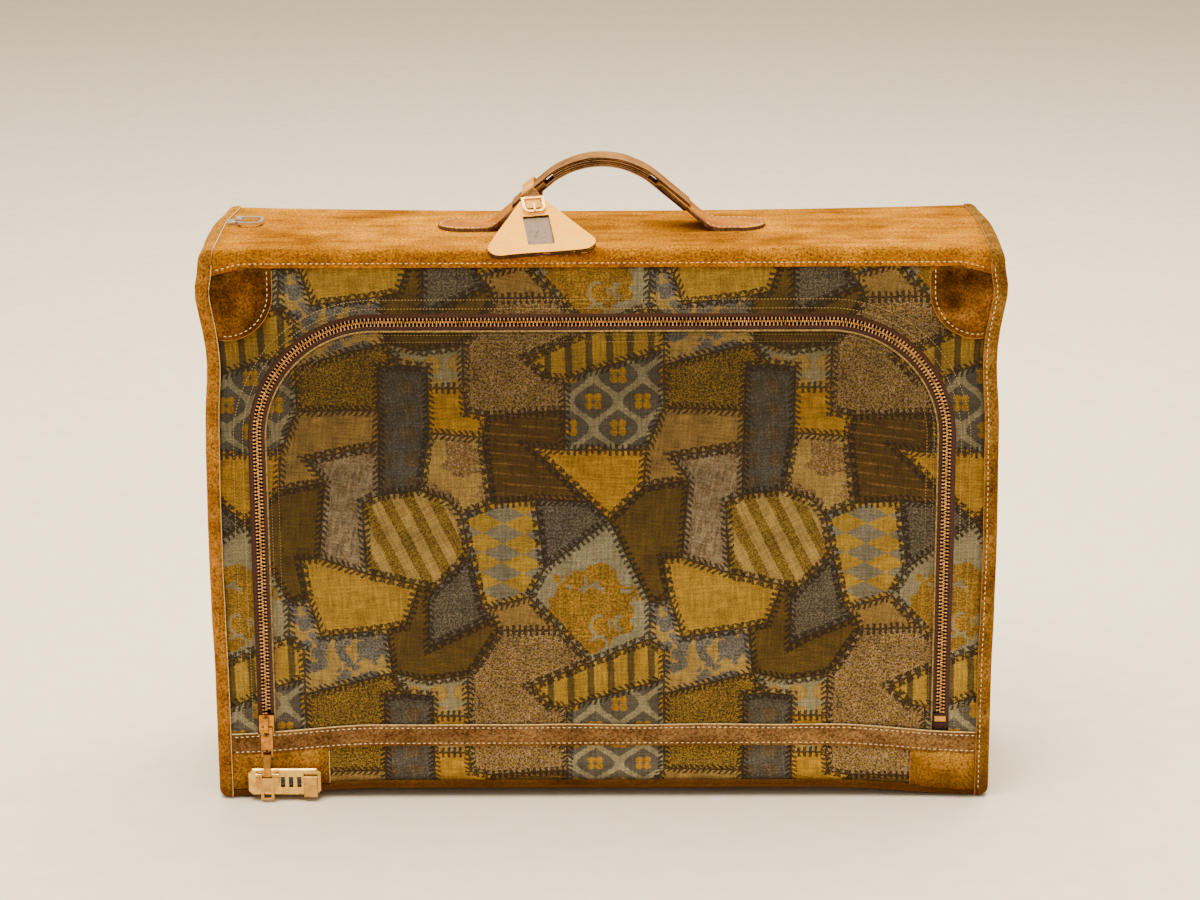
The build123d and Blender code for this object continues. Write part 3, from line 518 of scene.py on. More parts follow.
def diagonal_pattern(look, flat, across, along):
    band = look.below(look.wave(across, 0.0180), 0.5)
    return band, look.times(look.specks(flat, 800.0, 0.5), look.minus(1.0, band))


def ribbed_pattern(look, flat, across, along):
    rib = look.below(look.wave(along, 0.0085), 0.13)
    return look.times(rib, look.specks(look.turned(flat, (0.16, 1.0, 1.0)), 620.0, 0.44)), 0.0


def harlequin_pattern(look, flat, across, along):
    return look.below(look.plus(look.off_middle(across, 0.0350), look.off_middle(along, 0.0165)), 0.5), 0.0


def ogee_pattern(look, flat, across, along):
    wide, tall = 0.041, 0.047
    swing = look.fit(look.math("COSINE", look.times(along, 2.0 * math.pi / tall)), 0.25, 0.25)
    off_line = look.absolute(look.minus(look.off_middle(across, wide), swing))
    flower = 0.0
    for shift in (0.0, 0.5):
        right = look.off_middle(look.plus(across, shift * wide), wide)
        up = look.off_middle(look.plus(along, (shift + 0.5) * tall), tall)
        gap = look.squares(look.minus(right, 0.085), look.minus(up, 0.075))
        flower = look.most(flower, look.below(gap, 0.0062))
    return look.below(off_line, 0.1), flower


def roundel_pattern(look, flat, across, along):
    reach = look.squares(look.centred(across, 0.0205), look.centred(along, 0.0205))
    ring = look.below(look.absolute(look.minus(reach, 0.125)), 0.02)
    return look.below(reach, 0.155), look.times(ring, 0.5)


def blossom_pattern(look, flat, across, along):
    flower = look.times(look.below(look.cells(flat, 125.0), 0.6), look.below(look.cells(flat, 44.0), 0.70))
    return flower, look.times(flower, look.times(look.specks(flat, 620.0, 0.53), 0.8))


def scallop_pattern(look, flat, across, along):
    wide = look.minus(across, PATCH_SHIFT[0] * SCALLOP)
    tall = look.minus(along, PATCH_SHIFT[1] * SCALLOP - 0.004)
    reach = look.math("SQRT", look.squares(wide, tall))
    lobes = look.times(look.cells(flat, 72.0), 0.020)
    field = look.below(look.plus(reach, lobes), 0.046)
    ring = look.absolute(look.minus(look.cells(flat, 48.0), 0.40))
    ring = look.plus(ring, look.below(look.noise(flat, 60.0, 0.0), 0.53))
    field = look.times(field, look.above(ring, 0.06))
    return field, look.times(field, look.times(look.specks(flat, 560.0, 0.5), 0.85))


def speckle_pattern(look, flat, across, along):
    return look.specks(flat, 780.0, 0.5, 1.5), 0.0


def heather_pattern(look, flat, across, along):
    turned = look.turned(flat, (1.0, 1.0, 1.0), 0.6)
    return look.specks(flat, 700.0, 0.52, 1.5), look.specks(turned, 560.0, 0.56)


def mauve_pattern(look, flat, across, along):
    dash = look.specks(look.turned(flat, (1.0, 0.42, 1.0)), 210.0, 0.5, 2.0)
    return dash, look.times(look.specks(flat, 700.0, 0.56), 0.6)


def mottle_pattern(look, flat, across, along):
    cloud = look.specks(look.turned(flat, (1.0, 1.5, 1.0)), 38.0, 0.5)
    return cloud, look.times(look.specks(flat, 640.0, 0.55), look.minus(1.0, cloud))


def slate_pattern(look, flat, across, along):
    reach = look.squares(look.centred(across, 0.0215), look.centred(along, 0.0215))
    spot = look.rescale(reach, 0.12, 0.08)
    return look.times(spot, 0.75), look.times(look.specks(flat, 620.0, 0.54), 0.5)


def slub_pattern(look, flat, across, along):
    slub = look.noise(look.turned(flat, (0.12, 1.0, 1.0)), 420.0, 2.0)
    return look.rescale(slub, 0.42, 0.66, 0.0, 0.6), 0.0


def charcoal_pattern(look, flat, across, along):
    return look.times(look.specks(flat, 720.0, 0.5), 0.7), 0.0


def tapestry_yarns():
    """The ground, second and third yarn of each fabric, and its pattern."""
    mustard, olive, tan, grey = tint("mustard"), tint("olive"), tint("tan"), tint("grey")
    umber = colour(60, 42, 16)
    gold = colour(134, 104, 34)
    straw = colour(153, 117, 37)
    rose = colour(152, 122, 98)
    slate = colour(80, 72, 64)
    mist = colour(128, 117, 94)
    blue = colour(104, 98, 94)
    dusk = colour(62, 52, 46)
    return {
        "ogee": (slate, mist, mustard, ogee_pattern),
        "mustard": (mustard, colour(186, 136, 32), mustard, slub_pattern),
        "ribbed": (colour(76, 54, 18), colour(112, 81, 38), olive, ribbed_pattern),
        "heather": (colour(70, 52, 26), rose, gold, heather_pattern),
        "mottle": (colour(112, 82, 36), tan, rose, mottle_pattern),
        "slate": (colour(68, 60, 52), colour(76, 54, 24), blue, slate_pattern),
        "roundel": (mist, tan, colour(116, 86, 34), roundel_pattern),
        "speckle": (umber, gold, gold, speckle_pattern),
        "tan": (colour(132, 102, 54), colour(114, 86, 42), tan, slub_pattern),
        "mauve": (colour(104, 84, 60), colour(122, 106, 84), rose, mauve_pattern),
        "olive": (olive, colour(90, 66, 22), olive, slub_pattern),
        "scallop": (mist, colour(110, 80, 22), colour(160, 116, 34), scallop_pattern),
        "charcoal": (colour(60, 50, 42), colour(112, 100, 86), grey, charcoal_pattern),
        "harlequin": (grey, straw, tan, harlequin_pattern),
        "diagonal": (colour(84, 62, 20), tan, gold, diagonal_pattern),
        "straw": (straw, colour(164, 120, 34), straw, slub_pattern),
        "blossom": (tan, blue, dusk, blossom_pattern),
        "stripe": (straw, colour(84, 66, 30), straw, stripe_pattern),
    }


def embroidery(look, flat):
    """The share of dark yarn where stitches cross the seam of two patches."""
    along, away = look.parts(look.map("seam"))[0:2]
    slant, crossed = look.parts(look.map("style"))[0:2]
    wobble = look.minus(look.noise(flat, 150.0, 2.0), 0.5)
    step = look.fit(wobble, 0.0032, along)
    step = look.math("DIVIDE", step, look.fit(crossed, 0.0032, 0.0050))
    reach = look.math("DIVIDE", look.fit(wobble, 0.0014, away), SEAM_REACH * MM)
    lean = look.times(slant, reach)
    first = look.off_middle(look.plus(step, lean), 1.0)
    second = look.off_middle(look.minus(step, lean), 1.0)
    breadth = look.fit(crossed, -0.06, 0.26)
    first = look.below(first, breadth)
    second = look.times(look.below(second, breadth), crossed)
    ticks = look.most(first, second)
    spread = look.fit(look.noise(flat, 260.0, 1.0), 1.2, 0.36)
    ticks = look.times(ticks, look.below(reach, spread))
    ridge = look.below(reach, look.fit(look.noise(flat, 210.0, 1.0), 0.5, -0.06))
    worked = look.most(ticks, ridge)
    inside = look.below(away, SEAM_REACH * MM * 0.985)
    thin = look.rescale(look.noise(flat, 800.0, 2.0, 0.7), 0.3, 0.55, 0.35, 1.0)
    return look.times(look.times(worked, inside), thin)


@once
def tapestry_finish(fabric):
    ground, second, third, pattern = tapestry_yarns()[fabric]
    look = Finish(f"tapestry_{fabric}")
    flat = look.map("cloth")
    across, along = look.parts(flat)[0:2]
    ragged = look.minus(look.noise(flat, 620.0, 2.0, 0.7), 0.5)
    frayed = look.minus(look.noise(look.turned(flat, (1.0, 1.0, 1.0), 1.1), 540.0, 2.0, 0.7), 0.5)
    pulled_across = look.fit(ragged, 0.0042, across)
    pulled_along = look.fit(frayed, 0.0042, along)
    share, other = pattern(look, look.join(pulled_across, pulled_along), pulled_across, pulled_along)
    base = look.mix(share, ground, second)
    base = look.mix(other, base, third)
    heather = look.rescale(look.noise(flat, 760.0, 3.0, 0.75), 0.32, 0.7, 0.5, 1.38)
    worn = look.rescale(look.noise(flat, 46.0, 3.0, 0.6), 0.35, 0.65, 0.78, 1.1)
    wefts = look.noise(look.turned(flat, (0.1, 1.0, 1.0)), 560.0, 2.0)
    warps = look.noise(look.turned(flat, (1.0, 0.1, 1.0)), 480.0, 2.0)
    linen = look.rescale(look.plus(wefts, warps), 0.75, 1.25, 0.68, 1.32)
    worn = look.times(worn, linen)
    base = look.shade(base, look.times(heather, worn))
    # Painted light and shade: the cloth is lighter low down and darker higher up, lighter again near the top, lighter
    # still at the very foot, and lighter to the right.
    side, _, height = look.parts(look.place())
    painted_shading = look.plus(look.rescale(height, 0.02, 0.38, 1.6, 0.78), look.rescale(height, 0.41, 0.44, 0.0, 0.3))
    painted_shading = look.plus(painted_shading, look.rescale(height, 0.06, 0.045, 0.0, 0.26))
    painted_shading = look.times(painted_shading, look.rescale(side, -0.28, 0.28, 0.98, 1.14))
    base = look.shade(base, painted_shading)
    base = look.dye(base, tint("age"))
    worked = embroidery(look, flat)
    base = look.mix(worked, base, tint("brown"))
    weft = look.math("SINE", look.times(along, 2.0 * math.pi / 0.0010))
    warp = look.math("SINE", look.times(across, 2.0 * math.pi / 0.0014))
    weave = look.times(weft, warp)
    base = look.shade(base, look.rescale(weave, -1.0, 1.0, 0.8, 1.1))
    height = look.plus(look.times(weave, 0.4), look.times(heather, 0.6))
    height = look.fit(worked, 0.9, height)
    bump = look.bump(height, 0.6, 0.0005)
    return look.finish(base, 0.95, bump, Sheen_Weight=0.08, Sheen_Roughness=0.5, Specular_IOR_Level=0.12)


@once
def metal_finish(name):
    tones = {
        "lock_brass": (tint("brass"), colour(176, 130, 58), 0.18),
        "hasp_brass": (colour(204, 158, 84), colour(148, 106, 50), 0.2),
        "zip_copper": (colour(216, 162, 94), colour(98, 60, 28), 0.26),
        "slider_brass": (colour(196, 134, 52), colour(112, 72, 28), 0.28),
        "buckle_gold": (colour(226, 176, 88), colour(160, 112, 44), 0.22),
        "nickel": (colour(236, 230, 216), colour(176, 166, 146), 0.2),
        "pin_steel": (colour(210, 210, 206), colour(150, 148, 140), 0.22),
    }
    bright, dull, gloss = tones[name]
    look = Finish(name)
    where = look.place()
    tarnish = look.noise(where, 160.0, 4.0, 0.65)
    base = look.mix(look.rescale(tarnish, 0.42, 0.72, 0.0, 0.85), bright, dull)
    rough = look.rescale(tarnish, 0.3, 0.75, gloss, gloss + 0.24)
    fine = look.noise(look.turned(where, (1.0, 1.0, 0.1)), 2400.0, 1.0)
    return look.finish(base, rough, look.bump(fine, 0.08, 0.0002), Metallic=1.0)


@once
def leather_finish(name):
    """Smooth leather on its faces, and its rough cut edge on the sides across the given axis."""
    tones = {
        "handle": ((158, 102, 40), (108, 66, 24), (184, 150, 106), (46, 29, 14), (0.0, 1.0, 0.0), False),
        "tab": ((180, 107, 10), (138, 74, 2), (112, 80, 46), (56, 36, 18), (0.0, 0.0, 1.0), True),
        "tag": ((255, 180, 46), (250, 162, 32), (76, 50, 26), (36, 22, 10), (0.0, -0.3746, 0.9272), True),
        "tag_strap": ((226, 158, 66), (196, 124, 40), (150, 104, 56), (110, 72, 34), (0.0, 1.0, 0.0), False),
    }
    axis, faced = tones[name][4:]
    light, dark, edge_light, edge_dark = (colour(*tone) for tone in tones[name][:4])
    look = Finish(f"leather_{name}")
    where = look.place()
    stain = look.noise(where, 46.0, 4.0, 0.65)
    fibre = look.noise(where, 620.0, 3.0, 0.7)
    base = look.mix(look.rescale(stain, 0.35, 0.66), dark, light)
    base = look.shade(base, look.rescale(fibre, 0.3, 0.7, 0.8, 1.12))
    x, _, z = look.parts(where)
    rise = look.minus(z, GRIP_CENTRE * MM)
    far = look.math("SQRT", look.plus(look.times(x, x), look.times(rise, rise)))
    plies = look.noise(look.join(look.times(far, 14.0), look.times(x, 0.5)), 60.0, 2.0)
    torn = look.plus(look.times(fibre, 0.4), look.times(plies, 0.6))
    rough_edge = look.mix(look.rescale(torn, 0.38, 0.6), edge_dark, edge_light)
    turned = look.facing(axis)
    edge = look.rescale(turned, 0.75, 0.45) if faced else look.rescale(turned, 0.45, 0.75)
    base = look.mix(edge, base, rough_edge)
    height = look.times(fibre, look.fit(edge, 1.6, 0.3))
    rough = look.rescale(edge, 0.0, 1.0, 0.7, 0.96)
    return look.finish(base, rough, look.bump(height, 0.6, 0.0006), Specular_IOR_Level=0.05)


@once
def tape_finish():
    look = Finish("zip_tape_twill")
    where = look.place()
    x, _, z = look.parts(where)
    twill = look.off_middle(look.plus(look.times(x, 0.6), z), 0.0011)
    fuzz = look.noise(where, 900.0, 2.0)
    base = look.mix(look.rescale(twill, 0.0, 0.5), colour(50, 28, 20), colour(82, 50, 36))
    base = look.mix(look.rescale(fuzz, 0.4, 0.75, 0.0, 0.5), base, colour(44, 20, 12))
    return look.finish(base, 0.9, look.bump(twill, 0.5, 0.0003), Sheen_Weight=0.1, Specular_IOR_Level=0.2)


@once
def lining_finish():
    look = Finish("lining_sateen")
    where = look.place()
    x, y, _ = look.parts(where)
    rib = look.off_middle(look.plus(x, y), 0.0012)
    cloud = look.noise(where, 5.0, 2.0)
    slub = look.noise(look.turned(where, (1.0, 1.0, 0.06)), 500.0, 2.0)
    base = look.mix(look.rescale(cloud, 0.3, 0.7), colour(118, 90, 50), colour(128, 99, 56))
    base = look.shade(base, look.rescale(slub, 0.3, 0.7, 0.86, 1.1))
    base = look.shade(base, look.rescale(rib, 0.0, 0.5, 0.86, 1.05))
    return look.finish(base, 0.62, look.bump(rib, 0.3, 0.0003), Sheen_Weight=0.15)


@once
def board_finish():
    look = Finish("frame_fibreboard")
    fibre = look.noise(look.turned(look.place(), (1.0, 1.0, 0.3)), 420.0, 3.0)
    base = look.mix(look.rescale(fibre, 0.3, 0.7), colour(96, 74, 50), colour(136, 110, 78))
    return look.finish(base, 0.85, look.bump(fibre, 0.4, 0.0004))


@once
def window_finish():
    look = Finish("tag_window")
    scuff = look.noise(look.place(), 220.0, 4.0, 0.7)
    rough = look.rescale(scuff, 0.4, 0.75, 0.2, 0.5)
    return look.finish(colour(150, 122, 96), rough, Alpha=0.04, IOR=1.46, Specular_IOR_Level=0.06)


@once
def floor_finish():
    look = Finish("studio_floor")
    grain = look.noise(look.place(), 40.0, 3.0)
    base = look.mix(look.rescale(grain, 0.3, 0.7), colour(246, 222, 178), colour(250, 230, 192))
    return look.finish(base, 0.9)


# Mesh helpers


def smooth_step(value, low, high):
    share = min(1.0, max(0.0, (value - low) / (high - low)))
    return share * share * (3.0 - 2.0 * share)


def hump(value, middle, spread):
    return math.exp(-(((value - middle) / spread) ** 2))


def soften(point):
    """Moves a point of the crisp case, in metres, to where the soft one has it."""
    x, y, z = (value / MM for value in point)
    end = smooth_step(abs(x), 268.0, HALF_WIDTH)
    swell = sum(far * hump(z, height, spread) for far, height, spread in END_SWELL)
    swell -= 6.0 * smooth_step(y, 10.0, HALF_DEPTH) * smooth_step(z, 380.0, HEIGHT)
    middle = max(0.0, 1.0 - (x / HALF_WIDTH) ** 2)
    outer = smooth_step(abs(x), 190.0, 322.0)
    front = smooth_step(-y, 20.0, 80.0)
    lift = 7.0 * (1.0 - outer) * (1.0 - smooth_step(z, 0.0, 46.0)) * front
    droop = 8.0 * outer * smooth_step(z, 0.0, 40.0) * (1.0 - smooth_step(z, 70.0, 130.0)) * front
    sag = 4.5 * middle * smooth_step(z, 440.0, HEIGHT) * smooth_step(y, 34.0, HALF_DEPTH)
    drawn = 8.0 * smooth_step(abs(x), 292.0, 324.0) * hump(z, 466.0, 13.0) * front
    ripple = 0.5 * noise.noise(Vector((x, y, z)) / 34.0) * smooth_step(z, 60.0, 90.0)
    x += math.copysign(1.0, x) * end * (swell + ripple)
    z += lift - sag - droop - drawn
    return Vector((x, y, z)) * MM


def flap_rise(x, z):
    """How far the flap's cloth stands out at a place, in millimetres, less than nothing where it is sunk."""
    edge = min(ZIP_HALF - CLOTH_GAP - abs(x), ZIP_TOP - CLOTH_GAP - z, z - STRIP_HEAD + 6.0)
    corner_x = abs(x) - (ZIP_HALF - ZIP_CORNER)
    corner_z = z - (ZIP_TOP - ZIP_CORNER)
    if corner_x > 0.0 and corner_z > 0.0:
        edge = min(edge, ZIP_CORNER - CLOTH_GAP - math.hypot(corner_x, corner_z))
    rise = 7.0 - 18.0 * smooth_step(z, 120.0, 310.0)
    for far, across, wide, up, tall, slope in FLAP_DENTS:
        rise += far * hump(x, across, wide) * hump(z + slope * (x - across), up, tall)
    rise += 1.6 * noise.noise(Vector((x, 0.0, z)) / 85.0)
    rise += 0.5 * noise.noise(Vector((x, 7.0, z)) / 28.0)
    return rise * smooth_step(edge, 0.0, 84.0)


def with_flap(point):
    """Moves a point of the flat flap, in metres, to where its cloth has it."""
    share = sizes().flap_crown / (4.0 * MM)
    return point + FRONT * share * flap_rise(point.x / MM, point.z / MM) * MM


def cut(bm, point, normal, clear=True):
    """Cuts the whole mesh by a plane, and clears what is on the side that the normal points to."""
    everything = bm.verts[:] + bm.edges[:] + bm.faces[:]
    bmesh.ops.bisect_plane(bm, geom=everything, dist=1e-7, plane_co=point, plane_no=normal, clear_outer=clear)


def grid_cuts(bm, step):
    """Cuts a mesh along planes that are a step apart, so that it can bend."""
    for axis in (X_AXIS, Y_AXIS, Z_AXIS):
        spans = [vert.co.dot(axis) for vert in bm.verts]
        low, high = min(spans), max(spans)
        count = int((high - low) / step)
        for index in range(1, count):
            cut(bm, axis * (low + (high - low) * index / count), axis, clear=False)


def to_object(name, bm, materials):
    mesh = bpy.data.meshes.new(name)
    for face in bm.faces:
        face.smooth = True
    bm.to_mesh(mesh)
    bm.free()
    made = bpy.data.objects.new(name, mesh)
    bpy.context.scene.collection.objects.link(made)
    for material in materials:
        mesh.materials.append(material)
    return made


def thicken(made, depth, rim=0):
    solid = made.modifiers.new("thickness", "SOLIDIFY")
    solid.thickness = depth
    solid.offset = -1.0
    solid.material_offset_rim = rim
    return solid


def bend(bm, place):
    """Moves every vertex to where the soft case has it."""
    for vert in bm.verts:
        vert.co = place(vert.co)


def flat_area(bm):
    return sum(face.calc_area() for face in bm.faces)


def arch_planes(outward):
    """Planes round the zip's line, a distance outside it, with normals that point out."""
    side = ZIP_HALF + outward
    planes = [
        (Vector((-side, 0.0, 0.0)) * MM, -X_AXIS),
        (Vector((side, 0.0, 0.0)) * MM, X_AXIS),
        (Vector((0.0, 0.0, ZIP_TOP + outward)) * MM, Z_AXIS),
    ]
    turns = 16
    for index in range(1, turns):
        angle = math.pi / 2.0 * index / turns
        for hand in (-1.0, 1.0):
            normal = Vector((hand * math.cos(angle), 0.0, math.sin(angle)))
            middle = Vector((hand * (ZIP_HALF - ZIP_CORNER), 0.0, ZIP_TOP - ZIP_CORNER))
            planes.append(((middle + normal * (ZIP_CORNER + outward)) * MM, normal))
    return planes


def zip_point(travel, outward):
    """A point of the zip's path in millimetres, up the left side, over the top and down the right."""
    upright = ZIP_TOP - ZIP_CORNER - HINGE
    turn = ZIP_CORNER * math.pi / 2.0
    level = 2.0 * (ZIP_HALF - ZIP_CORNER)
    if travel <= upright:
        return Vector((-ZIP_HALF - outward, 0.0, HINGE + travel)), Z_AXIS.copy()
    if travel <= upright + turn:
        angle = (travel - upright) / ZIP_CORNER
        out = Vector((-math.cos(angle), 0.0, math.sin(angle)))
        middle = Vector((-ZIP_HALF + ZIP_CORNER, 0.0, ZIP_TOP - ZIP_CORNER))
        return middle + out * (ZIP_CORNER + outward), Vector((math.sin(angle), 0.0, math.cos(angle)))
    if travel <= upright + turn + level:
        run = travel - upright - turn
        return Vector((-ZIP_HALF + ZIP_CORNER + run, 0.0, ZIP_TOP + outward)), X_AXIS.copy()
    point, way = zip_point(2.0 * (upright + turn) + level - travel, outward)
    return Vector((-point.x, 0.0, point.z)), Vector((way.x, 0.0, -way.z))


def zip_length():
    return 2.0 * (ZIP_TOP - ZIP_CORNER - HINGE) + ZIP_CORNER * math.pi + 2.0 * (ZIP_HALF - ZIP_CORNER)


def stitch_row(bm, path, outward, material=0, share=1.0):
    """Sews stitches along a path of points, in metres, on a face whose outward direction is given."""
    pitch = share * sizes().stitch_pitch
    length = share * sizes().stitch_length
    breadth = math.sqrt(share) * sizes().thread
    due = pitch / 2.0
    walked = 0.0
    for start, end in zip(path, path[1:]):
        run = (end - start).length
        way = (end - start).normalized()
        while due <= walked + run:
            middle = start + way * (due - walked)
            side = outward.cross(way).normalized()
            up = way.cross(side)
            columns = (way * length * 0.5, side * breadth * 0.5, up * breadth * 0.42)
            matrix = Matrix.Translation(middle) @ Matrix(columns).transposed().to_4x4()
            made = bmesh.ops.create_icosphere(bm, subdivisions=1, radius=1.0, matrix=matrix)
            for face in {face for vert in made["verts"] for face in vert.link_faces}:
                face.material_index = material
            due += pitch
        walked += run


def line_path(start, end, pieces):
    """Points along a straight line, softened as the case is."""
    first, last = Vector(start) * MM, Vector(end) * MM
    return [soften(first.lerp(last, index / pieces)) for index in range(pieces + 1)]


def tube(bm, path, half_wide, half_thick, outward, material=0, segments=6, square=1.0, closed=False):
    """Runs a round or squarish section along a path of points, in metres, and caps its ends."""
    before_all = set(bm.faces)
    rings = []
    for index, point in enumerate(path):
        before = path[index - 1 if closed else max(0, index - 1)]
        after = path[(index + 1) % len(path) if closed else min(len(path) - 1, index + 1)]
        way = (after - before).normalized()
        side = outward.cross(way).normalized()
        up = way.cross(side)
        capped = not closed and index in (0, len(path) - 1)
        verts = bmesh.ops.create_circle(bm, cap_ends=capped, segments=segments, radius=1.0)["verts"]
        for vert in verts:
            wide = math.copysign(abs(vert.co.x) ** square, vert.co.x) * half_wide
            tall = math.copysign(abs(vert.co.y) ** square, vert.co.y) * half_thick
            vert.co = point + side * wide + up * tall
        edges = list({edge for vert in verts for edge in vert.link_edges})
        if rings:
            bmesh.ops.bridge_loops(bm, edges=rings[-1] + edges)
        rings.append(edges)
    if closed:
        bmesh.ops.bridge_loops(bm, edges=rings[-1] + rings[0])
    made = [face for face in bm.faces if face not in before_all]
    for face in made:
        face.material_index = material
    bmesh.ops.recalc_face_normals(bm, faces=made)


def bead(bm, path, radius, outward, material=0):
    """Lays a thin round edge along a path of points, in metres."""
    tube(bm, path, radius, radius, outward, material)


def soft_copy(node, name, material, place, step):
    """A copy of a CAD piece with enough cuts to bend, moved to its soft place, that stands for the piece."""
    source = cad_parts[node]
    bm = bmesh.new()
    bm.from_mesh(source.data)
    bmesh.ops.transform(bm, matrix=source.matrix_world, verts=bm.verts[:])
    bmesh.ops.remove_doubles(bm, verts=bm.verts[:], dist=2e-6)
    bmesh.ops.dissolve_limit(bm, angle_limit=math.radians(1.0), verts=bm.verts[:], edges=bm.edges[:])
    grid_cuts(bm, step)
    bend(bm, place)
    for face in bm.faces:
        face.material_index = 0
    bmesh.ops.recalc_face_normals(bm, faces=bm.faces[:])
    made = to_object(name, bm, [material])
    made.data.set_sharp_from_angle(angle=math.radians(45.0))
    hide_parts(node)
    return made


def front_panel(bm, middle, wide, tall):
    """Adds one upright face, from the place of its middle and its sizes in millimetres."""
    turn = Matrix.Rotation(math.pi / 2.0, 4, "X")
    size = Matrix.Diagonal((wide * MM, tall * MM, 1.0, 1.0))
    matrix = Matrix.Translation(Vector(middle) * MM) @ turn @ size
    bmesh.ops.create_grid(bm, x_segments=1, y_segments=1, size=0.5, matrix=matrix)


def front_sheet(low, high, step=0.008):
    """A flat grid on the front between two corners, in millimetres."""
    bm = bmesh.new()
    middle = ((low[0] + high[0]) / 2.0, 0.0, (low[1] + high[1]) / 2.0)
    front_panel(bm, middle, high[0] - low[0], high[1] - low[1])
    grid_cuts(bm, step)
    return bm


def trim_to_arch(bm, outward):
    """Cuts away what lies outside the zip's line, beyond a distance."""
    for point, normal in arch_planes(outward):
        cut(bm, point, normal)


def open_arch(bm, outward):
    """Cuts away what lies inside the zip's line, up to a distance outside it."""
    planes = arch_planes(outward)
    for point, normal in planes:
        cut(bm, point, normal, clear=False)
    gone = []
    for face in bm.faces:
        middle = face.calc_center_median()
        if all((middle - point).dot(normal) < 0.0 for point, normal in planes):
            gone.append(face)
    bmesh.ops.delete(bm, geom=gone, context="FACES")


def arch_band(inner, outer, foot):
    """A flat band on the front that follows the zip, from one distance outside its line to another."""
    reach = ZIP_HALF + outer + 1.0
    bm = front_sheet((-reach, foot), (reach, ZIP_TOP + outer + 1.0), 0.016)
    trim_to_arch(bm, outer)
    open_arch(bm, inner)
    bmesh.ops.remove_doubles(bm, verts=bm.verts[:], dist=2e-5)
    return bm


def node_material(names, material):
    for name in names:
        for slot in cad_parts[name].material_slots:
            slot.material = material


class SuitcaseStep:
    """What the suitcase's operators share."""

    bl_options = {"REGISTER", "UNDO"}


# The suede skin: its name, CAD piece, tone, the board beneath it, its box in millimetres, and its open sides
END_DEEP, END_TALL, TOP_WIDE = HALF_DEPTH + END_PROUD, HEIGHT + END_PROUD, SIDE_EDGE + TUCK
SKINS = (
    (
        "left_end", "left_side", "end", "left_board_bent",
        (-HALF_WIDTH - END_PROUD, -END_DEEP, 0.0), (-SIDE_EDGE, END_DEEP, END_TALL), [X_AXIS],
    ),
    # The right end's suede tone is darkened as painted shade.
    (
        "right_end", "right_side", "shaded_end", "right_board_bent",
        (SIDE_EDGE, -END_DEEP, 0.0), (HALF_WIDTH + END_PROUD, END_DEEP, END_TALL), [-X_AXIS],
    ),
    (
        "top_skin", "top_cover", "top", "top_board_bent",
        (-TOP_WIDE, -HALF_DEPTH, TOP_EDGE), (TOP_WIDE, HALF_DEPTH, HEIGHT), [X_AXIS, -X_AXIS, -Z_AXIS],
    ),
    (
        "base_skin", "base_cover", "base", "base_board_bent",
        (-TOP_WIDE, -HALF_DEPTH, 0.2), (TOP_WIDE, HALF_DEPTH, BASE_EDGE), [X_AXIS, -X_AXIS, Z_AXIS],
    ),
)


class SUITCASE_OT_suede_skin(SuitcaseStep, bpy.types.Operator):
    """Makes the suede ends, top and base with their turned lips and stitching"""

    bl_idname = "suitcase.suede_skin"
    bl_label = "Suede skin"

    def execute(self, context):
        for name, node, tone, board, low, high, opened in SKINS:
            low, high = Vector(low) * MM, Vector(high) * MM
            bm = bmesh.new()
            middle = Matrix.Translation((low + high) / 2.0)
            bmesh.ops.create_cube(bm, size=1.0, matrix=middle @ Matrix.Diagonal((*(high - low), 1.0)))
            bm.normal_update()
            gone = [face for face in bm.faces if any(face.normal.dot(way) > 0.9 for way in opened)]
            bmesh.ops.delete(bm, geom=gone, context="FACES")
            folds = [edge for edge in bm.edges if not edge.is_boundary]
            bmesh.ops.bevel(
                bm, geom=folds, offset=sizes().edge_round, offset_type="OFFSET", affect="EDGES", segments=5,
                profile=0.5, material=-1,
            )
            grid_cuts(bm, 0.014)
            area = flat_area(bm)
            bend(bm, soften)
            bmesh.ops.recalc_face_normals(bm, faces=bm.faces[:])
            rim = grained_finish("raw_edge_worn" if tone == "shaded_end" else "raw_edge_pale")
            made = to_object(name, bm, [suede_finish(tone), rim])
            is_end = name.endswith("end")
            thicken(made, sizes().skin, 1 if is_end else 0)
            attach(made, "case")
            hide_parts(node)
        self.sew_skin()
        return {"FINISHED"}

    def sew_skin(self):
        """Rows of stitches along the lips, and the raw edge beside them."""
        bm = bmesh.new()
        lip_y = HALF_DEPTH + 1.1
        inset = SIDE_EDGE + 2.6
        for hand in (-1.0, 1.0):
            for facing in (FRONT, -FRONT):
                y = facing.y * lip_y
                thread = 2 if hand < 0.0 and facing == FRONT else 0
                stitch_row(bm, line_path((hand * inset, y, 9.0), (hand * inset, y, 474.0), 80), facing, thread)
        for facing in (FRONT, -FRONT):
            y = facing.y * (HALF_DEPTH + 0.1)
            height = TOP_EDGE + 3.6
            stitch_row(bm, line_path((-SEW_END, y, height), (SEW_END, y, height), 120), facing)
        for hand in (-1.0, 1.0):
            edge = hand * (SIDE_EDGE - 0.2)
            trim = 1 if hand < 0.0 else 3
            for facing in (FRONT, -FRONT):
                y = facing.y * (HALF_DEPTH + 0.5)
                bead(bm, line_path((edge, y, 2.0), (edge, y, HEIGHT - 8.0), 60), 0.5 * MM, facing, trim)
            top = HEIGHT + 0.6
            bead(bm, line_path((edge, -80.0, top), (edge, 80.0, top), 30), 0.5 * MM, Z_AXIS, trim)
        sewn, edged = thread_finish("cream"), grained_finish("raw_edge_pale")
        made = to_object("skin_stitches", bm, [sewn, edged, thread_finish("worn"), grained_finish("raw_edge_worn")])
        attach(made, "case")


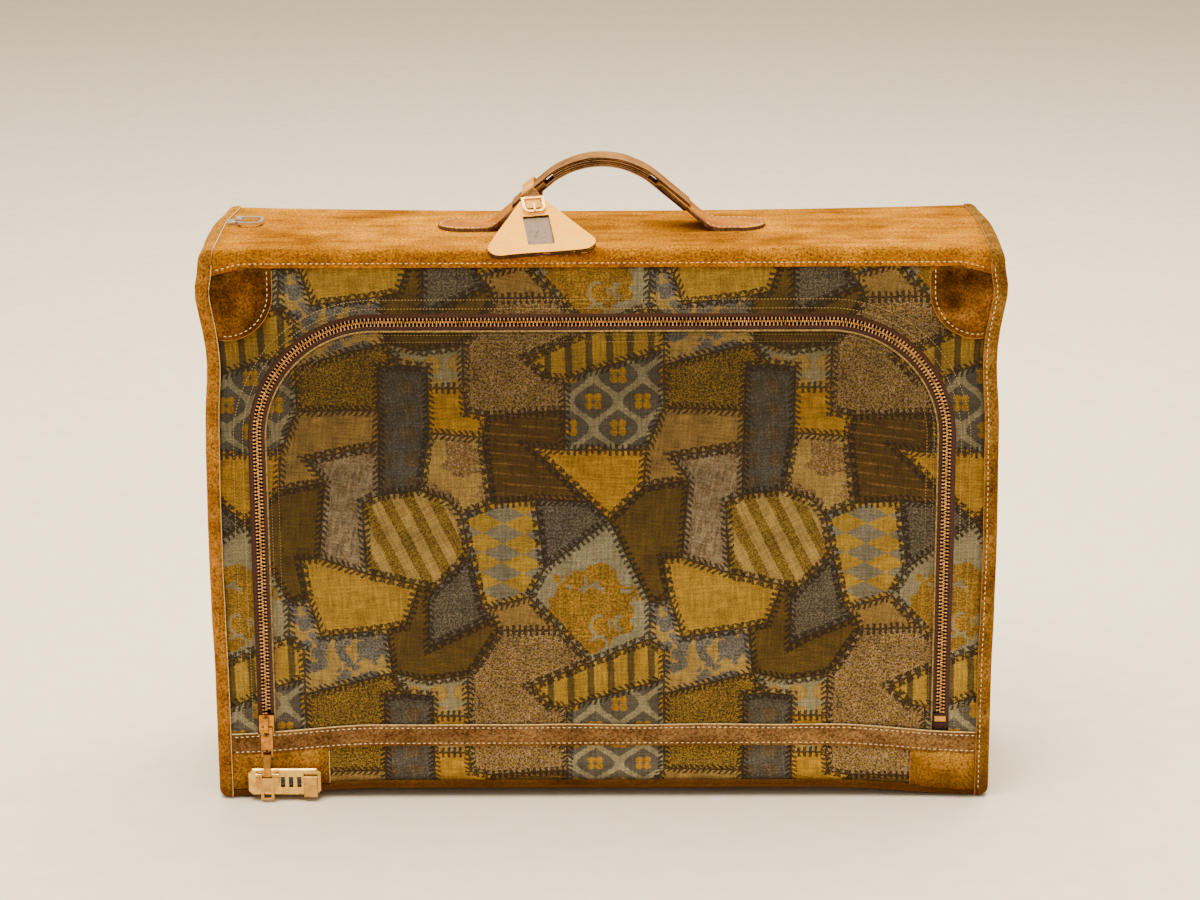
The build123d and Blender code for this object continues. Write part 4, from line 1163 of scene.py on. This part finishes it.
def lay_patches(bm, low, high, origin):
    """Lays the patchwork's repeat over a field of the front, each patch with a rim for its embroidery."""
    cloth = bm.loops.layers.uv.new("cloth")
    seam = bm.loops.layers.uv.new("seam")
    style = bm.loops.layers.uv.new("style")
    wide, tall = REPEAT[0], REPEAT[1] * REPEAT_STRETCH
    first_column = math.floor((low[0] - origin[0]) / wide) - 1
    last_column = math.floor((high[0] - origin[0]) / wide) + 1
    first_row = math.floor((low[1] - origin[1]) / tall) - 1
    last_row = math.floor((high[1] - origin[1]) / tall) + 1
    for column in range(first_column, last_column + 1):
        for row in range(first_row, last_row + 1):
            for number, (fabric, corners) in enumerate(PATCHES):
                points = []
                for x, y in corners:
                    points.append((origin[0] + x + column * wide, origin[1] + y * REPEAT_STRETCH + row * tall))
                xs = [point[0] for point in points]
                zs = [point[1] for point in points]
                if max(xs) < low[0] or min(xs) > high[0] or max(zs) < low[1] or min(zs) > high[1]:
                    continue
                lay_patch(bm, (cloth, seam, style), fabric, number, points)


def lay_patch(bm, layers, fabric, number, points):
    """One patch, with its pattern turned and moved, and the run of each seam kept for its embroidery."""
    cloth, seam, style = layers
    face = bm.faces.new([bm.verts.new((x * MM, 0.0, z * MM)) for x, z in points])
    face.normal_update()
    if face.normal.y > 0.0:
        bmesh.ops.reverse_faces(bm, faces=[face])
    rim = bmesh.ops.inset_individual(bm, faces=[face], thickness=SEAM_REACH * MM, use_even_offset=True)["faces"]
    angle = math.radians(PATTERN_TURN.get(fabric, 0.0) + 3.0 * math.sin(7.0 * number))
    middle = face.calc_center_median()
    for part in [face, *rim]:
        part.material_index = FABRICS.index(fabric)
        for loop in part.loops:
            away = loop.vert.co - middle
            across = away.x * math.cos(angle) - away.z * math.sin(angle)
            along = away.x * math.sin(angle) + away.z * math.cos(angle)
            loop[cloth].uv = (across + PATCH_SHIFT[0] * number, along + PATCH_SHIFT[1] * number)
            loop[seam].uv = (0.0, SEAM_REACH * MM)
            loop[style].uv = (0.0, 0.0)
    for part in rim:
        outer = [edge for edge in part.edges if edge.is_boundary]
        if not outer:
            continue
        first, second = outer[0].verts
        way = (second.co - first.co).normalized()
        if way.x + 0.001 * way.z < 0.0:
            way = -way
        lean = math.degrees(math.atan2(way.z, way.x))
        ticks = SEAM_STYLES[int(lean / 7.0 + 40.0) % len(SEAM_STYLES)]
        across = way.cross(Y_AXIS)
        for loop in part.loops:
            away = loop.vert.co - first.co
            loop[seam].uv = (loop.vert.co.dot(way), abs(away.dot(across)))
            loop[style].uv = ticks


def patchwork(low, high, origin):
    """A flat field of patchwork on the front, cut to a rectangle."""
    bm = bmesh.new()
    lay_patches(bm, low, high, origin)
    for point, normal in (
        ((low[0], 0.0, 0.0), -X_AXIS),
        ((high[0], 0.0, 0.0), X_AXIS),
        ((0.0, 0.0, low[1]), -Z_AXIS),
        ((0.0, 0.0, high[1]), Z_AXIS),
    ):
        cut(bm, Vector(point) * MM, normal)
    return bm


class SUITCASE_OT_tapestry(SuitcaseStep, bpy.types.Operator):
    """Lays the patchwork cloth of the flap, its surround, the foot and the back"""

    bl_idname = "suitcase.tapestry"
    bl_label = "Patchwork tapestry"

    def execute(self, context):
        reach = SIDE_EDGE + TUCK
        flap = patchwork((-282.0, HINGE + TUCK), (282.0, 415.0), FRONT_START)
        trim_to_arch(flap, -CLOTH_GAP)
        self.hang(flap, "flap_cloth", "flap_cover", "flap", "flap_stiffener", self.crowned)

        surround = patchwork((-reach, HINGE + 1.0), (reach, TOP_EDGE + TUCK), FRONT_START)
        open_arch(surround, CLOTH_GAP)
        self.hang(surround, "surround_cloth", "front_surround", "case", "left_board_bent", self.level, 1.35)

        foot = patchwork((-reach, BASE_EDGE - TUCK), (reach, HINGE - 1.0), FOOT_START)
        self.hang(foot, "foot_cloth", "front_foot", "case", "base_board_bent", self.level)

        back = patchwork((-reach, BASE_EDGE - TUCK), (reach, TOP_EDGE + TUCK), BACK_START)
        self.hang(back, "back_cloth", "back_panel", "case", "back_board_bent", self.backed)
        return {"FINISHED"}

    def level(self, point):
        return soften(Vector((point.x, CLOTH_Y * MM, point.z)))

    def crowned(self, point):
        return with_flap(Vector((point.x, CLOTH_Y * MM, point.z)))

    def backed(self, point):
        edge = min(SIDE_EDGE - abs(point.x / MM), point.z / MM - BASE_EDGE, TOP_EDGE - point.z / MM)
        rise = 1.4 * smooth_step(edge, 0.0, 90.0) + 0.3 * noise.noise(point * 22.0)
        rise = max(0.0, rise) * smooth_step(edge, 0.0, 14.0)
        return soften(TURN_ROUND @ Vector((point.x, (CLOTH_Y - rise) * MM, point.z)))

    def hang(self, bm, name, node, body, board, place, strip=None):
        """Bends a field of patchwork to its place. Its strip argument is not used."""
        grid_cuts(bm, 0.011)
        bmesh.ops.remove_doubles(bm, verts=bm.verts[:], dist=2e-5)
        area = flat_area(bm)
        bend(bm, place)
        bm.normal_update()
        made = to_object(name, bm, [tapestry_finish(fabric) for fabric in FABRICS])
        thicken(made, sizes().cloth)
        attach(made, body)
        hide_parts(node)


class SUITCASE_OT_corner_patches(SuitcaseStep, bpy.types.Operator):
    """Sews the suede patches onto the corners of the front and back"""

    bl_idname = "suitcase.corner_patches"
    bl_label = "Corner patches"

    def execute(self, context):
        for back in (False, True):
            for hand, side in ((-1.0, "left"), (1.0, "right")):
                node = f"back_top_{side}_patch" if back else f"top_{side}_patch"
                self.top_patch(node, -hand if back else hand, back)
        for node, hand, inner, back in (
            ("lock_patch", -1.0, LOCK_PATCH_INNER, False),
            ("base_right_patch", 1.0, LOW_PATCH_INNER, False),
            ("back_base_left_patch", 1.0, LOW_PATCH_INNER, True),
            ("back_base_right_patch", -1.0, LOW_PATCH_INNER, True),
        ):
            self.low_patch(node, hand, inner, back)
        return {"FINISHED"}

    def sheet(self, hand, inner, foot, head, step):
        left, right = sorted((hand * inner, hand * PATCH_OUTER))
        return front_sheet((left, foot), (right, head), step)

    def top_patch(self, node, hand, back):
        """A patch on a top corner, rounded at its free corner."""
        bm = self.sheet(hand, TOP_PATCH_INNER, TOP_PATCH_FOOT, TOP_EDGE + 1.0, 0.006)
        middle = Vector((hand * (TOP_PATCH_INNER + TOP_PATCH_ROUND), 0.0, TOP_PATCH_FOOT + TOP_PATCH_ROUND))
        head = TOP_EDGE - TUCK
        path = [Vector((hand * (TOP_PATCH_INNER + PATCH_SEAM), 0.0, head))]
        rim = [Vector((hand * TOP_PATCH_INNER, 0.0, head))]
        turns = 12
        for index in range(turns + 1):
            angle = math.pi / 2.0 * index / turns
            normal = Vector((-hand * math.cos(angle), 0.0, -math.sin(angle)))
            if 0 < index < turns:
                cut(bm, (middle + normal * TOP_PATCH_ROUND) * MM, normal)
            path.append(middle + normal * (TOP_PATCH_ROUND - PATCH_SEAM))
            rim.append(middle + normal * TOP_PATCH_ROUND)
        path.append(Vector((hand * SEW_END, 0.0, TOP_PATCH_FOOT + PATCH_SEAM)))
        rim.append(Vector((hand * (PATCH_OUTER - TUCK), 0.0, TOP_PATCH_FOOT)))
        self.sew_on(bm, node, path, back, hand, rim)

    def low_patch(self, node, hand, inner, back):
        """A square patch at the foot. The lock's is sewn down one side, those of the back on two."""
        bm = self.sheet(hand, inner, BASE_EDGE - 1.0, STRIP_FOOT + 1.0, 0.008)
        rim = [Vector((hand * inner, 0.0, BASE_EDGE + 4.0 * step)) for step in range(10)]
        path = []
        if node == "lock_patch":
            path = [(inner + 3.0, BASE_EDGE + 2.0), (inner + 3.0, STRIP_FOOT - 1.0)]
        elif back:
            head = STRIP_FOOT - 1.8
            path = [(inner + 2.8, BASE_EDGE + 3.0), (inner + 2.8, head), (SEW_END, head)]
        path = [Vector((hand * x, 0.0, z)) for x, z in path]
        self.sew_on(bm, node, path, back, hand, rim)

    def sew_on(self, bm, node, path, back, hand, edge):
        """Creases a patch to the corner, and sews it along a path. The lock's patch lies flat."""
        at_top = "top" in node
        dimple_z = 446.0 if at_top else 30.0
        depth = 0.0 if node == "lock_patch" else 1.6 if at_top else 1.0

        def settle(point, rise):
            x, z = point.x / MM, point.z / MM
            swell = 0.0
            for far, across, wide, up, tall, slope in PATCH_CREASES:
                crest = dimple_z + up + slope * (hand * x - across)
                swell += far * hump(x, hand * across, wide) * hump(z, crest, tall)
            swell *= smooth_step(SIDE_EDGE - abs(x), 0.0, 8.0)
            y = CLOTH_Y - 1.5 - rise - depth * max(-0.6, swell)
            spot = Vector((x, y, z)) * MM
            return soften(TURN_ROUND @ spot if back else spot)

        lift = 0.0 if depth else 0.5
        area = flat_area(bm)
        bend(bm, lambda point: settle(point, lift))
        bm.normal_update()
        tone = "patch" if at_top else "low_patch" if depth else "lock_patch"
        trim = grained_finish("raw_edge_worn" if depth else "raw_edge_pale")
        made = to_object(node + "_suede", bm, [suede_finish(tone), trim])
        thicken(made, 1.3 * MM, 1)
        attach(made, "case")
        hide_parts(node)
        rows = bmesh.new()
        facing = -FRONT if back else FRONT
        if path:
            stitch_row(rows, [settle(point * MM, lift + 0.1) for point in path], facing)
        bead(rows, [settle(point * MM, lift - 0.2) for point in edge], 0.4 * MM, facing, 1)
        sewn = thread_finish("cream" if depth else "worn")
        thread = to_object(node + "_stitches", rows, [sewn, trim])
        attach(thread, "case")


class SUITCASE_OT_hinge_strip(SuitcaseStep, bpy.types.Operator):
    """Makes the stitched strip that the flap folds about"""

    bl_idname = "suitcase.hinge_strip"
    bl_label = "Hinge strip"

    def execute(self, context):
        bm = front_sheet((-SIDE_EDGE, STRIP_FOOT), (SIDE_EDGE, STRIP_HEAD), 0.012)
        for height in range(50, 66, 2):
            cut(bm, Vector((0.0, 0.0, height)) * MM, Z_AXIS, clear=False)
        notch = (-295.5, -280.5, 65.6)
        for place, way in (((notch[0], 0, 0), X_AXIS), ((notch[1], 0, 0), X_AXIS), ((0, 0, notch[2]), Z_AXIS)):
            cut(bm, Vector(place) * MM, way, clear=False)
        gone = []
        for face in bm.faces:
            spot = face.calc_center_median() / MM
            if notch[0] < spot.x < notch[1] and spot.z > notch[2]:
                gone.append(face)
        bmesh.ops.delete(bm, geom=gone, context="FACES")
        area = flat_area(bm)

        def settle(point, rise):
            x, z = point.x / MM, point.z / MM
            crown = 0.7 * (1.0 - ((z - HINGE) / 9.5) ** 2) + 0.25 * noise.noise(Vector((x / 19.0, z / 9.0, 3.0)))
            wave = 0.7 * noise.noise(Vector((x / 60.0, 0.0, 9.0))) * smooth_step(z, 58.0, 67.0)
            return soften(Vector((x, CLOTH_Y - 2.0 - max(0.0, crown) - rise, z + wave)) * MM)

        def run(left, right, height, steps, rise):
            xs = [left + (right - left) * index / steps for index in range(steps + 1)]
            return [settle(Vector((x, 0.0, height)) * MM, rise) for x in xs]

        bend(bm, lambda point: settle(point, 0.0))
        bm.normal_update()
        raw_edge = grained_finish("raw_edge_pale")
        made = to_object("hinge_strip_suede", bm, [suede_finish("strip"), raw_edge])
        solid = thicken(made, 1.8 * MM, 1)
        bpy.context.view_layer.objects.active = made
        with bpy.context.temp_override(object=made, active_object=made):
            bpy.ops.object.modifier_apply(modifier=solid.name)
        rows = bmesh.new()
        for height in (50.6, 64.4):
            stitch_row(rows, run(-SEW_END, SEW_END, height, 160, 0.1), FRONT)
        for left, right in ((-318.0, notch[0] - 0.1), (notch[1] + 0.1, 318.0)):
            bead(rows, run(left, right, STRIP_HEAD, 100, -0.3), 0.6 * MM, FRONT, 1)
        thread = to_object("hinge_strip_stitches", rows, [thread_finish("cream"), raw_edge])
        for piece in (made, thread):
            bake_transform(piece)
        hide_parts("hinge_strip")
        return {"FINISHED"}


class SUITCASE_OT_zip_chain(SuitcaseStep, bpy.types.Operator):
    """Sets the zip's tapes and interlocked teeth, the flap's bound edge and the topstitching"""

    bl_idname = "suitcase.zip_chain"
    bl_label = "Zip chain"

    def execute(self, context):
        self.tape("frame_zip_tape", "frame_tape", "case", 3.6, 14.5, 60.0)
        self.tape("flap_zip_tape", "flap_tape", "flap", -14.5, -3.6, 77.0)
        self.teeth("frame_tooth_row", "frame_teeth", "case", 1.0, 72.0 - HINGE, 76.0 - HINGE, 0.0)
        self.teeth("flap_tooth_row", "flap_teeth", "flap", -1.0, 80.0 - HINGE, 77.0 - HINGE, 0.5)
        self.binding()
        self.topstitch()
        node_material(["zip_stop", "zip_slider", "zip_pull", "pull_link"], metal_finish("slider_brass"))
        return {"FINISHED"}

    def tape(self, name, node, body, inner, outer, foot):
        """A woven tape that follows one side of the zip's line."""
        bm = arch_band(inner, outer, foot)
        for vert in bm.verts:
            vert.co.y = TAPE_Y * MM
        if body == "case":
            self.backing(bm)
        area = flat_area(bm)
        bm.normal_update()
        made = to_object(name, bm, [tape_finish()])
        thicken(made, 0.9 * MM)
        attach(made, body)
        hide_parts(node)

    def backing(self, bm):
        """The tape's ends, turned in behind the foot of the zip."""
        for x, y, z, tall in ((-ZIP_HALF, -80.2, 67.0, 26.0), (ZIP_HALF + 0.8, -84.7, 65.6, 19.6)):
            front_panel(bm, (x, y, z), 20.0, tall)

    def teeth(self, name, node, body, hand, left_start, right_start, shift):
        """One row: each tooth is a foot on the tape and a narrower head that reaches past the zip's line."""
        bm = bmesh.new()
        count = int(zip_length() / (sizes().tooth_pitch / MM))
        for index in range(count):
            travel = (index + shift) * zip_length() / count
            if travel < left_start or travel > zip_length() - right_start:
                continue
            point, way = zip_point(travel, 0.0)
            out = Vector((-way.z, 0.0, way.x)) * hand
            for low, high, tall, thick in TOOTH:
                spot = point + out * (low + high) / 2.0
                spot.y = TEETH_Y
                columns = (out * (high - low), way * tall, Y_AXIS * thick)
                matrix = Matrix.Translation(spot * MM) @ Matrix(columns).transposed().to_4x4()
                matrix = matrix @ Matrix.Diagonal((MM, MM, MM, 1.0))
                bmesh.ops.create_cube(bm, size=1.0, matrix=matrix)
        bmesh.ops.bevel(
            bm, geom=bm.edges[:], offset=0.36 * MM, offset_type="OFFSET", affect="EDGES", segments=1, profile=0.5,
            material=-1,
        )
        bmesh.ops.recalc_face_normals(bm, faces=bm.faces[:])
        made = to_object(name, bm, [metal_finish("zip_copper")])
        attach(made, body)
        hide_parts(node)

    def arch_path(self, outward, trim):
        """Points on the cloth along the zip, a distance outside its line and short of its ends."""
        path = []
        steps = 260
        for index in range(steps + 1):
            travel = trim + (zip_length() - 2.0 * trim) * index / steps
            point = zip_point(travel, outward)[0]
            point.y = CLOTH_Y - 0.1
            path.append(point * MM)
        return path

    def binding(self):
        """A thin bound edge along the flap's cloth beside the zip."""
        bm = bmesh.new()
        bead(bm, self.arch_path(-CLOTH_GAP - 0.3, 12.0), 0.8 * MM, FRONT)
        bmesh.ops.recalc_face_normals(bm, faces=bm.faces[:])
        made = to_object("flap_binding", bm, [grained_finish("flap_binding")])
        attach(made, "flap")

    def topstitch(self):
        """Two fine rows on each side of the zip."""
        for name, body, thread, place, rows in (
            ("surround_topstitch", "case", "olive", soften, (CLOTH_GAP + 4.4, CLOTH_GAP + 12.0)),
            ("flap_topstitch", "flap", "moss", with_flap, (-CLOTH_GAP - 3.6, -CLOTH_GAP - 9.6)),
        ):
            bm = bmesh.new()
            for outward in rows:
                stitch_row(bm, [place(point) for point in self.arch_path(outward, 14.0)], FRONT, 0, FINE_STITCH)
            made = to_object(name, bm, [thread_finish(thread)])
            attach(made, body)


class SUITCASE_OT_lock(SuitcaseStep, bpy.types.Operator):
    """Finishes the combination lock and its wheels"""

    bl_idname = "suitcase.lock"
    bl_label = "Combination lock"

    def execute(self, context):
        node_material(["lock_case"], metal_finish("lock_brass"))
        node_material(["lock_hasp", "release_button"], metal_finish("hasp_brass"))
        node_material(["hasp_pins", "wheel_axle"], metal_finish("pin_steel"))
        node_material(["number_wheel_1", "number_wheel_2", "number_wheel_3"], grained_finish("wheel_plastic"))
        return {"FINISHED"}


class SUITCASE_OT_handle(SuitcaseStep, bpy.types.Operator):
    """Stacks the rough leather layers of the handle and sews its tabs down"""

    bl_idname = "suitcase.handle"
    bl_label = "Handle"

    def execute(self, context):
        strap = bmesh.new()
        for index, offset in enumerate((3.78, 2.45)):
            self.layer(strap, self.loop(offset), 12.8 - 0.5 * index, index, True)
        filler = bmesh.new()
        for index, offset in enumerate((0.85, -0.85)):
            self.layer(filler, self.arc(offset, 35.0), 12.5 - 0.3 * index, 4 + index, False)
        for bm, node in ((strap, "handle_strap"), (filler, "handle_filler")):
            made = to_object(node + "_leather", bm, [leather_finish("handle")])
            made.data.set_sharp_from_angle(angle=math.radians(50.0))
            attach(made, "case")
            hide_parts(node)
        for hand, node in ((-1.0, "left_handle_tab"), (1.0, "right_handle_tab")):
            made = soft_copy(node, node + "_leather", leather_finish("tab"), self.roughen, 0.004)
            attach(made, "case")
            self.sew_tab(hand, node)
        return {"FINISHED"}

    def roughen(self, point):
        rough = 0.35 * noise.noise(point * 160.0) * MM
        return point + Vector((rough, rough, 0.5 * rough))

    def arc(self, offset, reach=40.0, hand=1.0):
        """Points over the grip's arch, at a distance outside its middle line."""
        points = []
        steps = 40
        for index in range(steps + 1):
            angle = math.radians(hand * reach * (2.0 * index / steps - 1.0))
            far = GRIP_ARC + offset
            points.append(Vector((far * math.sin(angle), 0.0, GRIP_CENTRE + far * math.cos(angle))) * MM)
        return points

    def loop(self, offset):
        """The strap's whole loop: over the arch, round one end, back under it and round the other end."""
        lean = math.radians(40.0)
        way = Vector((math.cos(lean), 0.0, -math.sin(lean)))
        out = Vector((math.sin(lean), 0.0, math.cos(lean)))
        foot = Vector((GRIP_ARC * math.sin(lean), 0.0, GRIP_CENTRE + GRIP_ARC * math.cos(lean)))
        turn = foot + way * 33.6
        end = []
        for step in range(1, 13):
            end.append(foot.lerp(turn, step / 12.0) + out * offset)
        for step in range(1, 10):
            angle = math.pi * step / 10.0
            end.append(turn + (out * math.cos(angle) + way * math.sin(angle)) * offset)
        for step in range(12):
            end.append(turn.lerp(foot, step / 12.0) - out * offset)
        right = [point * MM for point in end]
        left = [Vector((-point.x, 0.0, point.z)) for point in reversed(right)]
        return [*self.arc(offset), *right, *self.arc(-offset, 40.0, -1.0), *left]

    def layer(self, bm, path, half_wide, seed, closed):
        """One ply of leather along a path, with uneven edges."""
        rough = []
        for point in path:
            shift = 0.5 * noise.noise(Vector((point.x * 70.0, 7.0 * seed, point.z * 70.0)))
            lift = 0.25 * noise.noise(Vector((point.x * 90.0, 3.0 * seed + 40.0, point.z * 90.0)))
            rough.append(point + Vector((0.0, shift, lift)) * MM)
        tube(bm, rough, 0.58 * MM, half_wide * MM, -Y_AXIS, 0, 12, 0.3, closed)

    def sew_tab(self, hand, node):
        bm = bmesh.new()
        side, middle, straight = 19.6, 116.3, (88.0, 96.0, 104.0, 112.0)
        path = [Vector((hand * x, -side, 0.0)) for x in straight]
        for step in range(13):
            angle = math.pi * (step / 12.0 - 0.5)
            path.append(Vector((hand * (middle + side * math.cos(angle)), side * math.sin(angle), 0.0)))
        path += [Vector((hand * x, side, 0.0)) for x in reversed(straight)]
        for point in path:
            point.z = HEIGHT + 3.1 + 6.0 * smooth_step(abs(point.x), 99.0, 82.0)
        stitch_row(bm, [point * MM for point in path], Z_AXIS)
        thread = to_object(node + "_stitches", bm, [thread_finish("cream")])
        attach(thread, "case")


class SUITCASE_OT_tag(SuitcaseStep, bpy.types.Operator):
    """Finishes the luggage tag, its strap and buckle"""

    bl_idname = "suitcase.tag"
    bl_label = "Luggage tag"

    def execute(self, context):
        for node, area in (("tag_back", 4.65e-3), ("tag_front", 3.75e-3)):
            made = soft_copy(node, node + "_leather", leather_finish("tag"), self.warp, 0.005)
            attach(made, "tag")
        card = soft_copy("tag_card", "tag_card_paper", grained_finish("tag_card"), self.warp, 0.005)
        window = soft_copy("tag_window", "tag_window_film", window_finish(), self.warp, 0.005)
        for made in (card, window):
            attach(made, "tag")
        strap = soft_copy("tag_strap", "tag_strap_leather", leather_finish("tag_strap"), self.warp, 0.004)
        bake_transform(strap)
        node_material(["tag_buckle", "tag_prong"], metal_finish("buckle_gold"))
        return {"FINISHED"}

    def warp(self, point):
        """A slight curl that every layer of the tag shares."""
        curl = 0.8 * noise.noise(Vector((point.x * 22.0, point.y * 22.0, 5.0)))
        return point + Vector((0.0, 0.0, curl)) * MM * smooth_step(-point.y, 0.046, 0.07)


class SUITCASE_OT_strap_ring(SuitcaseStep, bpy.types.Operator):
    """Finishes the strap ring, its clip and rivet"""

    bl_idname = "suitcase.strap_ring"
    bl_label = "Strap ring"

    def execute(self, context):
        node_material(["ring_clip", "ring_rivet", "strap_ring"], metal_finish("nickel"))
        return {"FINISHED"}


class SUITCASE_OT_inside(SuitcaseStep, bpy.types.Operator):
    """Bends the frame boards to the soft case and hangs the lining"""

    bl_idname = "suitcase.inside"
    bl_label = "Boards and lining"

    def execute(self, context):
        for node in ("top_board", "back_board", "base_board", "left_board", "right_board"):
            made = soft_copy(node, node + "_bent", board_finish(), soften, 0.03)
            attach(made, "case")
        stiffener = soft_copy("flap_board", "flap_stiffener", board_finish(), with_flap, 0.014)
        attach(stiffener, "flap")
        inner = soft_copy("flap_lining", "flap_lining_cloth", lining_finish(), with_flap, 0.014)
        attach(inner, "flap")
        made = soft_copy("lining", "lining_cloth", lining_finish(), self.slack, 0.022)
        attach(made, "case")
        return {"FINISHED"}

    def slack(self, point):
        """The lining hangs a little off its boards, in shallow folds."""
        fold = 1.2 + 1.2 * noise.noise(Vector((point.x * 24.0, point.y * 9.0, point.z * 7.0)))
        inward = Vector((-point.x, 0.0, 0.24 - point.z))
        if abs(point.y) > 0.079:
            inward = FRONT
        return soften(point) + inward.normalized() * fold * MM


class SUITCASE_OT_stage(SuitcaseStep, bpy.types.Operator):
    """Sets the floor, the studio light and the camera"""

    bl_idname = "suitcase.stage"
    bl_label = "Stage"

    def execute(self, context):
        bm = bmesh.new()
        bmesh.ops.create_grid(bm, x_segments=1, y_segments=1, size=9.0, matrix=Matrix.Translation((0, 0, -0.0005)))
        floor = to_object("studio_floor", bm, [floor_finish()])
        self.area("key_light", (-0.8, -1.2, 3.6), 2.4, 210.0)
        self.area("fill_light", (1.9, -2.2, 1.6), 2.4, 12.0)
        self.area("top_light", (0.3, 1.0, 3.0), 2.8, 230.0)
        world = context.scene.world or bpy.data.worlds.new("studio")
        context.scene.world = world
        world.use_nodes = True
        backdrop = world.node_tree.nodes["Background"]
        backdrop.inputs["Color"].default_value = colour(250, 246, 240)
        backdrop.inputs["Strength"].default_value = 0.62
        self.camera(context)
        return {"FINISHED"}

    def area(self, name, place, size, power):
        light = bpy.data.lights.new(name, "AREA")
        light.size = size
        light.energy = power
        made = bpy.data.objects.new(name, light)
        aim = Vector((0.0, 0.0, 0.24)) - Vector(place)
        made.matrix_world = Matrix.Translation(place) @ aim.to_track_quat("-Z", "Y").to_matrix().to_4x4()
        bpy.context.scene.collection.objects.link(made)

    def camera(self, context):
        """A camera at the photo's angle, turned by yaw, pitch and roll in radians."""
        yaw, pitch, roll = -0.0085, 0.2835, -0.0053
        forward = Vector((math.sin(yaw) * math.cos(pitch), math.cos(yaw) * math.cos(pitch), -math.sin(pitch)))
        right = Vector((math.cos(yaw), -math.sin(yaw), 0.0))
        up = right.cross(forward)
        leant_right = right * math.cos(roll) + up * math.sin(roll)
        leant_up = up * math.cos(roll) - right * math.sin(roll)
        view = bpy.data.cameras.new("photo_camera")
        view.sensor_width = 36.0
        view.sensor_fit = "HORIZONTAL"
        view.lens = 99.42
        view.clip_end = 50.0
        made = bpy.data.objects.new("photo_camera", view)
        turn = Matrix((leant_right, leant_up, -forward)).transposed().to_4x4()
        made.matrix_world = Matrix.Translation((0.0211, -2.743, 1.0849)) @ turn
        context.scene.collection.objects.link(made)
        context.scene.camera = made


STEPS = (
    SUITCASE_OT_suede_skin,
    SUITCASE_OT_tapestry,
    SUITCASE_OT_corner_patches,
    SUITCASE_OT_hinge_strip,
    SUITCASE_OT_zip_chain,
    SUITCASE_OT_lock,
    SUITCASE_OT_handle,
    SUITCASE_OT_tag,
    SUITCASE_OT_strap_ring,
    SUITCASE_OT_inside,
    SUITCASE_OT_stage,
)


class SUITCASE_PT_steps(bpy.types.Panel):
    """Lists the steps that dress the suitcase"""

    bl_label = "Suitcase"
    bl_idname = "SUITCASE_PT_steps"
    bl_space_type = "VIEW_3D"
    bl_region_type = "UI"
    bl_category = "Suitcase"

    def draw(self, context):
        for step in STEPS:
            self.layout.operator(step.bl_idname)
        for group in (context.scene.suitcase_sizes, context.scene.suitcase_colours):
            for key in group.bl_rna.properties.keys():
                if key not in ("rna_type", "name"):
                    self.layout.prop(group, key)


CLASSES = (CaseSizes, CaseColours, *STEPS, SUITCASE_PT_steps)


def register():
    for kind in CLASSES:
        bpy.utils.register_class(kind)
    bpy.types.Scene.suitcase_sizes = bpy.props.PointerProperty(type=CaseSizes)
    bpy.types.Scene.suitcase_colours = bpy.props.PointerProperty(type=CaseColours)


def unregister():
    del bpy.types.Scene.suitcase_sizes
    del bpy.types.Scene.suitcase_colours
    for kind in reversed(CLASSES):
        bpy.utils.unregister_class(kind)


def main():
    register()
    for step in STEPS:
        group, name = step.bl_idname.split(".")
        getattr(getattr(bpy.ops, group), name)()


if __name__ == "__main__":
    main()
